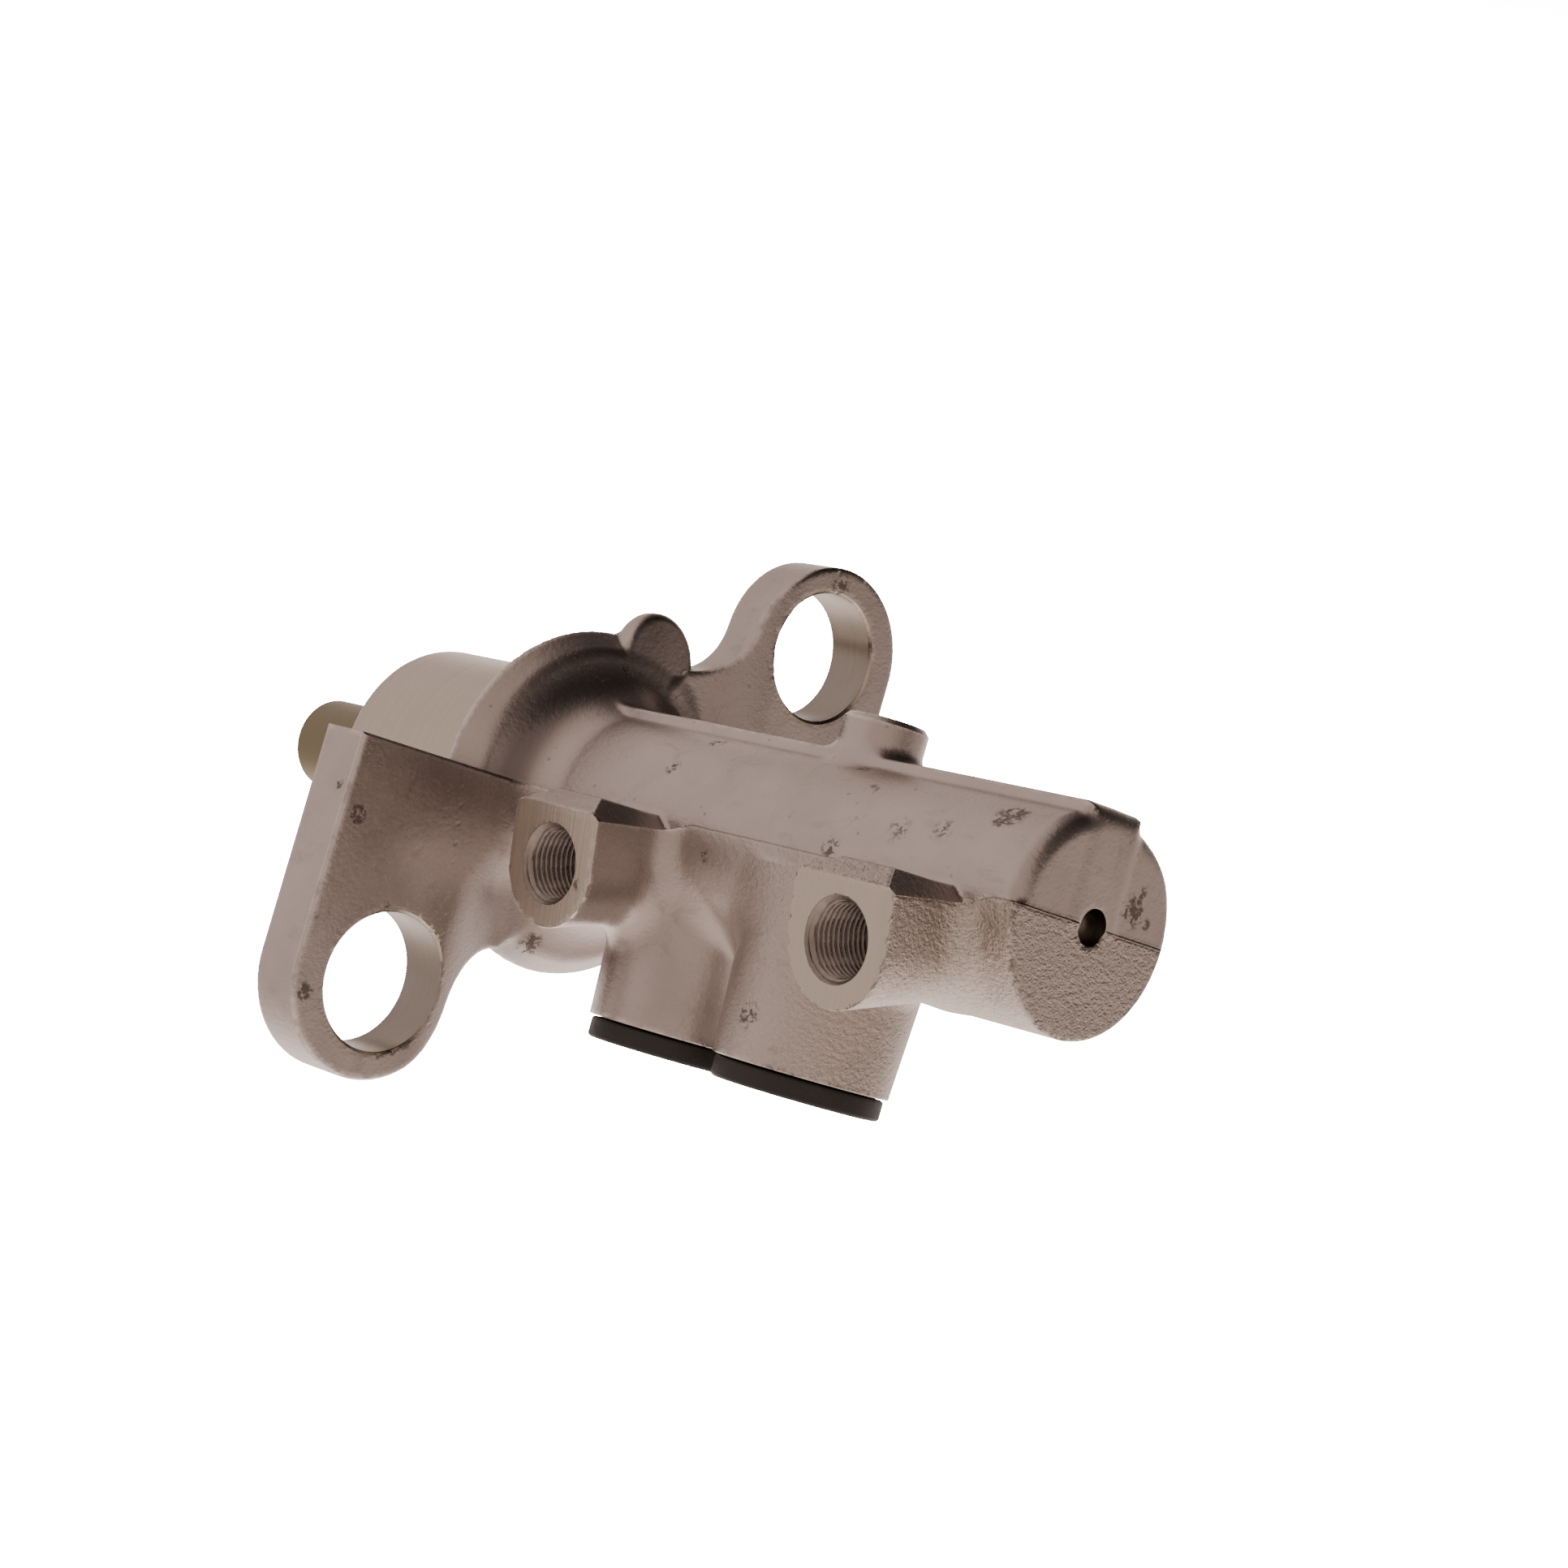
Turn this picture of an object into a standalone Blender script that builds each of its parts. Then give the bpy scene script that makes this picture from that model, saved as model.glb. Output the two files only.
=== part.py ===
"""Tandem brake master cylinder, as separate pieces.

Frame: the origin is on the bore's axis, in the plane of the flange's back face. +X runs along the bore
towards the closed end, +Y is the side of the two outlet ports, and +Z is the side of the two reservoir
sockets. All named sizes are in millimetres and MM turns them into Blender's metres.
"""

import math

import bmesh
import bpy
from mathutils import Matrix, Vector

MM = 0.001

# Driving dimensions of the cast body
BORE_R = 11.9
BORE_END_X = 109.0
BARREL_WALL = 4.9
END_WALL = 8.4
BARREL_R = BORE_R + BARREL_WALL
BARREL_END_X = BORE_END_X + END_WALL
END_ROUNDING = 1.6
DIMPLE_R = 2.6
DIMPLE_DEPTH = 3.0
MOUTH_BORE_R = 15.5
SPIGOT_WALL = 5.8
SPIGOT_R = MOUTH_BORE_R + SPIGOT_WALL
SPIGOT_LENGTH = 39.4
MOUTH_SHOULDER_X = -19.0
FLANGE_T = 9.8
EAR_PITCH_R = 51.84
EAR_ANGLE = 45.5
EAR_HOLE_R = 11.3
EAR_R = 16.2
EAR_OVERHANG = 1.265
EAR_FILLET_R = 11.0
HUB_R = 29.6
HUB_BACK_X = 0.25
HUB_RIM_R = 25.4
HUB_RIM_X = 4.6
LOBE_CENTRE = (-5.5, -27.2)
LOBE_R = 8.0
RIB_HALF_W = 6.0
RIB_HEIGHT = 0.7
RIB_TOP = BARREL_R + RIB_HEIGHT
RIB_BOSS_X = 66.2
RIB_BOSS_R = 6.8
RIB_BOSS_HEIGHT = 6.9
RIB_BOSS_TOP = BARREL_R + RIB_BOSS_HEIGHT

# Outlet ports, M12 x 1
PORT_X = (33.8, 98.9)
PORT_TILT = 10.8
PORT_FACE = 32.2
PORT_OFFSET = 5.95
PORT_BOSS_R = 10.1
PORT_FLAT = 9.1
PORT_CORNER = 1.1
PORT_CORE_R = 5.46
PORT_CHAMFER_R = 6.5
PORT_DEPTH = 14.0
PORT_ROOF_Y = 28.4
PASSAGE_R = 1.5

# Reservoir sockets
RESERVOIR_START_X = 39.0
RESERVOIR_TOP = 32.6
RESERVOIR_R = 14.0
RESERVOIR_DRAFT = 0.035
SOCKET_R = 9.3
SOCKET_FLOOR_WALL = 3.2
SOCKET_FLOOR = BARREL_R + SOCKET_FLOOR_WALL
GROMMET_FLANGE_R = 13.4
GROMMET_GAP = 3.1
RESERVOIR_X = (RESERVOIR_START_X, RESERVOIR_START_X + 2 * GROMMET_FLANGE_R + GROMMET_GAP)
GROMMET_FLANGE_T = 3.3
GROMMET_HOLE_R = 5.0
FEED_HOLE_R = (1.3, 1.1)
COMPENSATING_R = 0.6

# Pistons and what rides on them
RUNNING = 0.1
TOUCH = 0.3
LAND_R = BORE_R - RUNNING
NOSE_R = 8.6
WAIST_R = NOSE_R + 0.8
SPRING_BORE_R = NOSE_R - 1.4
STEM_R = 8.2
STEM_END_X = -72.8
PUSHROD_SOCKET_R = 5.2
PUSHROD_SOCKET_DEPTH = 34.0
STROKE = 13.0
STROKE_SPARE = 0.6
SECONDARY_REAR_X = 55.6
SECONDARY_FRONT_X = 76.8
PRIMARY_FRONT_X = SECONDARY_REAR_X - STROKE - STROKE_SPARE
CUP_W = 4.5
WASHER_T = 0.7
WASHER_ROOM = 0.4
RETAINER_T = 0.8
WIRE_R = 0.85
SPRING_ROOM = 0.45
SPRING_MEAN_R = SPRING_BORE_R - WIRE_R - SPRING_ROOM
COIL_STEPS = 12
SEGMENTS = 24
CAST_SEGMENTS = 48

ALUMINIUM = ("cast_aluminium", (0.36, 0.32, 0.29), 0.42, 1.0)
RUBBER = ("black_rubber", (0.018, 0.017, 0.016), 0.6, 0.0)
ANODISED = ("hard_anodised", (0.14, 0.12, 0.07), 0.45, 0.6)
STEEL = ("plated_steel", (0.55, 0.53, 0.50), 0.32, 1.0)
SPRING_STEEL = ("spring_steel", (0.30, 0.30, 0.31), 0.35, 1.0)
NYLON = ("nylon", (0.78, 0.76, 0.70), 0.5, 0.0)

PORT_DIRECTION = Vector((0, math.cos(math.radians(PORT_TILT)), math.sin(math.radians(PORT_TILT))))
PORT_ACROSS = Vector((0, -PORT_DIRECTION.z, PORT_DIRECTION.y))
X_AXIS = Vector((1, 0, 0))
Z_AXIS = Vector((0, 0, 1))


# ---- scene, materials and helpers ----

def clear_scene():
    for obj in list(bpy.data.objects):
        bpy.data.objects.remove(obj, do_unlink=True)


def new_collection(name, hidden=False):
    collection = bpy.data.collections.new(name)
    bpy.context.scene.collection.children.link(collection)
    collection.hide_render = hidden
    return collection


def material(spec):
    name, colour, roughness, metallic = spec
    found = bpy.data.materials.get(name)
    if found:
        return found
    made = bpy.data.materials.new(name)
    made.use_nodes = True
    shader = made.node_tree.nodes["Principled BSDF"]
    shader.inputs["Base Color"].default_value = (*colour, 1.0)
    shader.inputs["Roughness"].default_value = roughness
    shader.inputs["Metallic"].default_value = metallic
    return made


def link(obj, collection, spec=None):
    collection.objects.link(obj)
    if spec:
        obj.data.materials.append(material(spec))
    if collection.hide_render:
        obj.hide_render = True
        obj.display_type = "WIRE"
    return obj


def along_x(start=Vector((0, 0, 0)), direction=X_AXIS):
    """Places a shape made along local Z so that it runs along the given direction from the given point."""
    return Matrix.Translation(start * MM) @ direction.to_track_quat("Z", "Y").to_matrix().to_4x4()


def turned(name, collection, profile, spec=None, segments=SEGMENTS, place=None):
    """A turned shape: (station, radius) pairs in order round its section, spun about the local Z axis.

    A profile that starts and ends on the axis is solid; any other is a ring, so its last point joins its
    first. The points are put in the order that faces the surface outward.
    """
    solid = profile[0][1] == 0 and profile[-1][1] == 0
    area = sum(a[0] * b[1] - b[0] * a[1] for a, b in zip(profile, profile[1:] + profile[:1]))
    if area < 0:
        profile = profile[::-1]
    mesh = bpy.data.meshes.new(name)
    points = [(radius * MM, 0, station * MM) for station, radius in profile]
    edges = [(i, i + 1) for i in range(len(points) - 1)]
    if not solid:
        edges.append((len(points) - 1, 0))
    mesh.from_pydata(points, edges, [])
    obj = link(bpy.data.objects.new(name, mesh), collection, spec)
    screw = obj.modifiers.new("Turn", "SCREW")
    screw.axis = "Z"
    screw.angle = math.tau
    screw.steps = segments
    screw.render_steps = segments
    screw.use_merge_vertices = True
    screw.merge_threshold = 0.00001
    screw.use_smooth_shade = False
    obj.matrix_world = place if place is not None else along_x()
    return obj


def arc(centre, radius, start, end, steps):
    """Points on a circle in the outline's own plane, from one angle in degrees to another."""
    angles = (math.radians(start + (end - start) * i / steps) for i in range(steps + 1))
    return [(centre[0] + radius * math.cos(a), centre[1] + radius * math.sin(a)) for a in angles]


def plate(name, collection, outline, low, high, place, spec=None):
    """A flat outline, extruded from one station to another along the local Z axis of its place."""
    curve = bpy.data.curves.new(name, "CURVE")
    curve.dimensions = "2D"
    curve.fill_mode = "BOTH"
    curve.extrude = (high - low) / 2 * MM
    spline = curve.splines.new("POLY")
    spline.points.add(len(outline) - 1)
    for point, (u, v) in zip(spline.points, outline):
        point.co = (u * MM, v * MM, 0, 1)
    spline.use_cyclic_u = True
    raised = place @ Matrix.Translation((0, 0, (low + high) / 2 * MM))
    return curve_to_mesh(name, collection, curve, raised, spec)


def curve_to_mesh(name, collection, curve, place, spec=None):
    guide = bpy.data.objects.new(name + "_guide", curve)
    bpy.context.scene.collection.objects.link(guide)
    bpy.context.view_layer.update()
    evaluated = guide.evaluated_get(bpy.context.evaluated_depsgraph_get())
    mesh = bpy.data.meshes.new_from_object(evaluated)
    bpy.data.objects.remove(guide, do_unlink=True)
    weld = bmesh.new()
    weld.from_mesh(mesh)
    bmesh.ops.remove_doubles(weld, verts=weld.verts, dist=1e-6)
    bmesh.ops.recalc_face_normals(weld, faces=weld.faces)
    weld.to_mesh(mesh)
    weld.free()
    mesh.materials.clear()
    obj = link(bpy.data.objects.new(name, mesh), collection, spec)
    obj.matrix_world = place
    return obj


def box(name, collection, low, high):
    mesh = bpy.data.meshes.new(name)
    work = bmesh.new()
    bmesh.ops.create_cube(work, size=1.0)
    size = [(b - a) * MM for a, b in zip(low, high)]
    middle = [(a + b) / 2 * MM for a, b in zip(low, high)]
    bmesh.ops.scale(work, vec=size, verts=work.verts)
    bmesh.ops.translate(work, vec=middle, verts=work.verts)
    work.to_mesh(mesh)
    work.free()
    return link(bpy.data.objects.new(name, mesh), collection)


def combine(target, operation, tools):
    for tool in tools:
        modifier = target.modifiers.new(tool.name, "BOOLEAN")
        modifier.operation = operation
        modifier.object = tool
        modifier.solver = "EXACT"


def smooth(obj, angle=35.0):
    if obj.type == "MESH":
        obj.data.shade_smooth()
        obj.data.set_sharp_from_angle(angle=math.radians(angle))


# ---- the cast body ----

def body_frame():
    """Outlines of the flange are drawn with u along +Y and v along +Z, and extruded along +X."""
    return Matrix(((0, 0, 1, 0), (1, 0, 0, 0), (0, 1, 0, 0), (0, 0, 0, 1)))


def port_frame(x):
    """Port outlines have u along X and v across the port; their stations run out along its axis."""
    across = PORT_ACROSS * PORT_OFFSET
    columns = (-X_AXIS, PORT_ACROSS, PORT_DIRECTION)
    turn = Matrix([[c[i] for c in columns] for i in range(3)]).to_4x4()
    return Matrix.Translation((X_AXIS * x + across) * MM) @ turn


def barrel_profile():
    rounding = arc((BARREL_END_X - END_ROUNDING, BARREL_R - END_ROUNDING), END_ROUNDING, 0, 90, 3)
    cove_r = HUB_RIM_R - BARREL_R
    cove = arc((HUB_RIM_X + cove_r, HUB_RIM_R), cove_r, 270, 180, 6)
    back = [
        (HUB_BACK_X, HUB_R), (HUB_BACK_X, SPIGOT_R), (0.6 - SPIGOT_LENGTH, SPIGOT_R),
        (-SPIGOT_LENGTH, SPIGOT_R - 0.6),
    ]
    return [(BARREL_END_X, 0)] + rounding + cove + back + [(-SPIGOT_LENGTH, 0)]


def ear_centre():
    angle = math.radians(EAR_ANGLE)
    return EAR_PITCH_R * math.cos(angle), EAR_PITCH_R * math.sin(angle)


def half_flange():
    """One ear's outline, from its straight top edge round to where its fillet runs into the hub."""
    y, z = ear_centre()
    round_y = y + EAR_OVERHANG
    side_y = round_y + EAR_R
    reach = HUB_R + EAR_FILLET_R - 1.0
    ear_reach = EAR_R + EAR_FILLET_R
    # The fillet's centre is its radius away from both the ear's circle and the hub's
    gap = math.hypot(round_y, z)
    lean = math.atan2(z, round_y)
    swing = math.acos((gap ** 2 + reach ** 2 - ear_reach ** 2) / (2 * gap * reach))
    fillet = (reach * math.cos(lean + swing), reach * math.sin(lean + swing))
    leave = math.degrees(math.atan2(fillet[1] - z, fillet[0] - round_y)) % 360
    meet = math.degrees(math.atan2(-fillet[1], -fillet[0]))
    turn = math.degrees(math.atan2(z - fillet[1], round_y - fillet[0]))
    ear = arc((round_y, z), EAR_R, 0, leave, 12)
    hollow = arc(fillet, EAR_FILLET_R, turn, meet, 5)
    return [(BARREL_R * 0.5, 0), (side_y, 0)] + ear + hollow


def ears(collection):
    half = half_flange()
    outline = half + [(-y, -z) for y, z in half]
    return plate("ears", collection, outline, 0, FLANGE_T, body_frame())


def port_boss(collection, index, x):
    side = PORT_BOSS_R
    corner = [
        (side, -PORT_FLAT + PORT_CORNER), (side - PORT_CORNER, -PORT_FLAT),
        (PORT_CORNER - side, -PORT_FLAT), (-side, PORT_CORNER - PORT_FLAT),
    ]
    outline = arc((0, 0), side, 180, 0, 12) + corner
    boss = plate(f"port_boss_{index}", collection, outline, BORE_R, PORT_FACE, port_frame(x))
    roof = [
        (PORT_ROOF_Y, 0), (PORT_FACE / PORT_DIRECTION.y * 0.978, RIB_HALF_W * 0.45),
        (PORT_ROOF_Y, PORT_OFFSET), (BORE_R, PORT_OFFSET), (BORE_R, 0),
    ]
    half = (side - PORT_CORNER * 2) * 0.8
    lift = plate(f"port_roof_{index}", collection, roof, x - half, x + half, body_frame())
    return [boss, lift]


def reservoir_boss(collection, index, x):
    foot = BORE_R + 0.5
    foot_r = RESERVOIR_R + (RESERVOIR_TOP - foot) * RESERVOIR_DRAFT
    profile = [(RESERVOIR_TOP, 0), (RESERVOIR_TOP, RESERVOIR_R), (foot, foot_r), (foot, 0)]
    place = along_x(Vector((x, 0, 0)), Z_AXIS)
    return turned(f"reservoir_boss_{index}", collection, profile, segments=32, place=place)


def housing_pieces(collection):
    y, z = LOBE_CENTRE
    outline = arc((y, z), LOBE_R, 0, 345, 23)
    lobe = plate("lobe", collection, outline, 0.4, HUB_RIM_X - 0.05, body_frame())
    rib_low = (HUB_RIM_X, -RIB_HALF_W, -RIB_TOP)
    rib = box("rib", collection, rib_low, (BARREL_END_X - 0.4, RIB_HALF_W, -BORE_R - 1.0))
    boss_profile = [
        (RIB_BOSS_TOP, 0), (RIB_BOSS_TOP, RIB_BOSS_R - 0.9), (RIB_BOSS_TOP - 0.9, RIB_BOSS_R),
        (BORE_R + 2.0, RIB_BOSS_R), (BORE_R + 2.0, 0),
    ]
    place = along_x(Vector((RIB_BOSS_X, 0, 0)), -Z_AXIS)
    boss = turned("rib_boss", collection, boss_profile, place=place)
    web_x = sum(RESERVOIR_X) / 2
    web = box("web", collection, (web_x - 5, -8, BORE_R + 1), (web_x + 5, 8, RESERVOIR_TOP - 0.05))
    found = [ears(collection), lobe, rib, boss, web]
    for index, x in enumerate(PORT_X):
        found += port_boss(collection, index, x)
    found += [reservoir_boss(collection, index, x) for index, x in enumerate(RESERVOIR_X)]
    return found


def hole(name, collection, start, direction, radius, length, segments=12):
    profile = [(length, 0), (length, radius), (0, radius), (0, 0)]
    half_step = Matrix.Rotation(math.pi / segments, 4, "Z")
    return turned(name, collection, profile, segments=segments, place=along_x(start, direction) @ half_step)


def housing_cutters(collection):
    groove = CIRCLIP_GROOVE
    mouth = -SPIGOT_LENGTH - 1.0
    bore = [
        (BORE_END_X, 0), (BORE_END_X, BORE_R), (MOUTH_SHOULDER_X, BORE_R), (MOUTH_SHOULDER_X, MOUTH_BORE_R),
        (groove[1], MOUTH_BORE_R), (groove[1], groove[2]), (groove[0], groove[2]),
        (groove[0], MOUTH_BORE_R), (mouth, MOUTH_BORE_R), (mouth, 0),
    ]
    cutters = [turned("bore", collection, bore)]
    y, z = ear_centre()
    for name, side in (("ear_hole_a", 1), ("ear_hole_b", -1)):
        start = Vector((-1, side * y, side * z))
        cutters.append(hole(name, collection, start, X_AXIS, EAR_HOLE_R, FLANGE_T + 2, 32))
    face = PORT_FACE
    chamfer = PORT_CHAMFER_R - PORT_CORE_R
    port = [
        (face + 1, 0), (face + 1, PORT_CHAMFER_R + 1), (face - chamfer, PORT_CORE_R),
        (face - PORT_DEPTH, PORT_CORE_R), (face - PORT_DEPTH - 2.6, 0),
    ]
    for index, x in enumerate(PORT_X):
        cutters.append(turned(f"port_{index}", collection, port, place=port_frame(x)))
    for index, (start_dx, end_x) in enumerate(((3.0, PRIMARY_FRONT_X + 2.5), (-0.7, PORT_X[1] + 0.9))):
        start = X_AXIS * (PORT_X[index] + start_dx) + PORT_ACROSS * PORT_OFFSET
        start += PORT_DIRECTION * (face - PORT_DEPTH + 1)
        end = X_AXIS * end_x + PORT_ACROSS * PORT_OFFSET + PORT_DIRECTION * (BORE_R * 0.66)
        span = end - start
        along = span.normalized()
        cutters.append(hole(f"passage_{index}", collection, start, along, PASSAGE_R, span.length, 8))
    for index, x in enumerate(RESERVOIR_X):
        start = Vector((x, 0, SOCKET_FLOOR))
        depth = RESERVOIR_TOP - SOCKET_FLOOR + 1
        cutters.append(hole(f"socket_{index}", collection, start, Z_AXIS, SOCKET_R, depth, 24))
    drillings = (
        ("feed_0", PRIMARY_FEED_X, FEED_HOLE_R[0]), ("feed_1", SECONDARY_FEED_X, FEED_HOLE_R[1]),
        ("compensating_0", PRIMARY_FRONT_X + 0.4, COMPENSATING_R),
        ("compensating_1", SECONDARY_FRONT_X + 0.5, COMPENSATING_R),
    )
    for name, x, radius in drillings:
        start = Vector((x, 0, BORE_R - 2))
        cutters.append(hole(name, collection, start, Z_AXIS, radius, SOCKET_FLOOR - BORE_R + 3, 8))
    dimple = [(1, 0), (1, DIMPLE_R), (0, DIMPLE_R), (-DIMPLE_DEPTH, 0.6), (-DIMPLE_DEPTH, 0)]
    end = along_x(Vector((BARREL_END_X, 0, 0)))
    cutters.append(turned("dimple", collection, dimple, segments=16, place=end))
    return cutters


def housing(parts, helpers):
    profile = barrel_profile()
    body = turned("housing", parts, profile, ALUMINIUM, segments=CAST_SEGMENTS)
    combine(body, "UNION", housing_pieces(helpers))
    combine(body, "DIFFERENCE", housing_cutters(helpers))
    return body


# ---- the stack in the mouth of the spigot ----

CIRCLIP_T = 1.4
CIRCLIP_X = -SPIGOT_LENGTH + 1.8
CIRCLIP_GROOVE = (CIRCLIP_X - TOUCH, CIRCLIP_X + CIRCLIP_T + TOUCH, MOUTH_BORE_R + 1.1)
STACK_R = MOUTH_BORE_R - TOUCH
STEM_FIT_R = STEM_R + 0.15
WASHER_X = MOUTH_SHOULDER_X - TOUCH - 1.4
SEAL_X = WASHER_X - TOUCH - 4.4
GUIDE_X = CIRCLIP_X + CIRCLIP_T + TOUCH
PRIMARY_FEED_X = PRIMARY_FRONT_X - 10.8
SECONDARY_FEED_X = SECONDARY_FRONT_X - 9.4


def mouth_stack(parts):
    circlip = [
        (CIRCLIP_X + CIRCLIP_T, MOUTH_BORE_R - 3.0), (CIRCLIP_X + CIRCLIP_T, MOUTH_BORE_R + 0.8),
        (CIRCLIP_X, MOUTH_BORE_R + 0.8), (CIRCLIP_X, MOUTH_BORE_R - 3.0),
    ]
    ring = turned("circlip", parts, circlip, STEEL)
    gap = box("circlip_gap", bpy.data.collections["cutters"], (CIRCLIP_X - 1, -1.5, 9), (GUIDE_X, 1.5, 18))
    combine(ring, "DIFFERENCE", [gap])
    guide_end = SEAL_X - TOUCH
    groove = (guide_end - 4.6, guide_end - 2.2, STACK_R - 1.7)
    guide = [
        (guide_end, STEM_FIT_R), (guide_end, STACK_R), (groove[1], STACK_R), (groove[1], groove[2]),
        (groove[0], groove[2]), (groove[0], STACK_R), (GUIDE_X, STACK_R), (GUIDE_X, STEM_FIT_R + 1.0),
        (GUIDE_X + 1.0, STEM_FIT_R),
    ]
    turned("guide_ring", parts, guide, NYLON)
    middle = (groove[0] + groove[1]) / 2
    bead = (MOUTH_BORE_R - groove[2]) / 2 - RUNNING
    bead_profile = arc((middle, (MOUTH_BORE_R + groove[2]) / 2), bead, 0, 315, 7)
    turned("guide_o_ring", parts, bead_profile, RUBBER)
    end = SEAL_X + 4.4
    seal = [
        (end, STEM_FIT_R), (end, STEM_FIT_R + 1.0), (SEAL_X + 1.8, STEM_FIT_R + 2.6), (end, STACK_R - 1.4),
        (end, STACK_R), (SEAL_X, STACK_R), (SEAL_X, STEM_FIT_R + 0.6), (SEAL_X + 1.5, STEM_FIT_R),
    ]
    turned("stem_seal", parts, seal, RUBBER)
    washer_end = WASHER_X + 1.4
    washer = [
        (washer_end, STEM_FIT_R + 0.3), (washer_end, STACK_R), (WASHER_X, STACK_R),
        (WASHER_X, STEM_FIT_R + 0.3),
    ]
    turned("stop_washer", parts, washer, STEEL)


# ---- what rides on the pistons ----

def cup(name, parts, x, faces_front=True, inner_r=NOSE_R):
    """A U-shaped pressure cup whose two lips point towards the pressure."""
    seat = inner_r + 0.15
    wall = LAND_R - seat
    back, front = (x, x + CUP_W) if faces_front else (x + CUP_W, x)
    depth = 0.45 * CUP_W * (1 if faces_front else -1)
    profile = [
        (front, LAND_R), (back, LAND_R - wall * 0.08), (back, seat), (front, seat),
        (front, seat + wall * 0.16), (front - depth, seat + wall / 2), (front, LAND_R - wall * 0.2),
    ]
    return turned(name, parts, profile, RUBBER)


def flat_ring(name, parts, x, thickness, inner_r, outer_r, spec=STEEL):
    profile = [(x + thickness, inner_r), (x + thickness, outer_r), (x, outer_r), (x, inner_r)]
    return turned(name, parts, profile, spec)


def nose_set(parts, owner, front_x):
    """The washer, cup and retainer that sit on a piston's nose, from the land to the nose's front edge."""
    retainer_x = front_x - RETAINER_T - TOUCH
    cup_x = retainer_x - TOUCH - CUP_W
    washer_x = cup_x - TOUCH - WASHER_T
    cup_middle_r = (NOSE_R + LAND_R) / 2
    flat_ring(owner + "_cup_retainer", parts, retainer_x, RETAINER_T, NOSE_R + 0.12, cup_middle_r)
    cup(owner + "_cup", parts, cup_x)
    flat_ring(owner + "_cup_washer", parts, washer_x, WASHER_T, NOSE_R + 0.12, LAND_R - WASHER_ROOM)
    return washer_x - TOUCH


def primary_group(parts):
    land_x = nose_set(parts, "primary", PRIMARY_FRONT_X)
    rear = MOUTH_SHOULDER_X
    seal_x = rear + 4.0
    groove_r = NOSE_R
    socket = STEM_END_X + PUSHROD_SOCKET_DEPTH
    profile = [
        (PRIMARY_FRONT_X, SPRING_BORE_R), (PRIMARY_FRONT_X, NOSE_R), (land_x, NOSE_R), (land_x, LAND_R),
        (land_x - 1.4, LAND_R), (land_x - 1.4, WAIST_R), (seal_x + CUP_W + 3.0, WAIST_R),
        (seal_x + CUP_W + 3.0, LAND_R), (seal_x + CUP_W + TOUCH, LAND_R), (seal_x + CUP_W + TOUCH, groove_r),
        (seal_x - TOUCH, groove_r), (seal_x - TOUCH, LAND_R), (rear, LAND_R), (rear, STEM_R),
        (STEM_END_X + 1.2, STEM_R), (STEM_END_X, STEM_R - 1.2), (STEM_END_X, PUSHROD_SOCKET_R),
        (socket, PUSHROD_SOCKET_R), (socket + 2.2, PUSHROD_SOCKET_R - 2.2), (socket + 3.0, 0),
    ]
    floor = SCREW_ROOT_X + SCREW_ROOT_LENGTH
    inner = [(SCREW_ROOT_X, 0), (SCREW_ROOT_X, SCREW_R + 0.1), (floor, SCREW_R + 0.1), (floor, SPRING_BORE_R)]
    turned("primary_piston", parts, inner + profile, ANODISED)
    cup("primary_rear_seal", parts, seal_x)
    screw = [
        (SCREW_HEAD_X + 2.4, 0), (SCREW_HEAD_X + 2.4, SCREW_HEAD_R), (SCREW_HEAD_X, SCREW_HEAD_R),
        (SCREW_HEAD_X, SCREW_R), (SCREW_ROOT_X + TOUCH, SCREW_R), (SCREW_ROOT_X + TOUCH, 0),
    ]
    turned("spring_limit_screw", parts, screw, STEEL, segments=SEGMENTS)


SCREW_ROOT_X = 0.0
SCREW_ROOT_LENGTH = 8.0
SLEEVE_ROOM = 0.65
SLEEVE_WALL = 0.9
SLEEVE_TUBE_R = SPRING_MEAN_R - WIRE_R - SLEEVE_ROOM
SLEEVE_BORE_R = SLEEVE_TUBE_R - SLEEVE_WALL
SCREW_HEAD_R = SLEEVE_BORE_R - 0.4
SCREW_R = SCREW_HEAD_R * 0.55
SLEEVE_FLANGE_X = SECONDARY_REAR_X - TOUCH - 0.9
SLEEVE_LIP_X = SLEEVE_FLANGE_X - 12.0
SCREW_HEAD_X = SLEEVE_LIP_X + 1.0 + TOUCH
SEAT_X = BORE_END_X - TOUCH - 1.0
SEAT_R = SPRING_MEAN_R + WIRE_R + 2.85
SEAT_ROOM = 0.55
SEAT_WALL = 1.9


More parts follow.
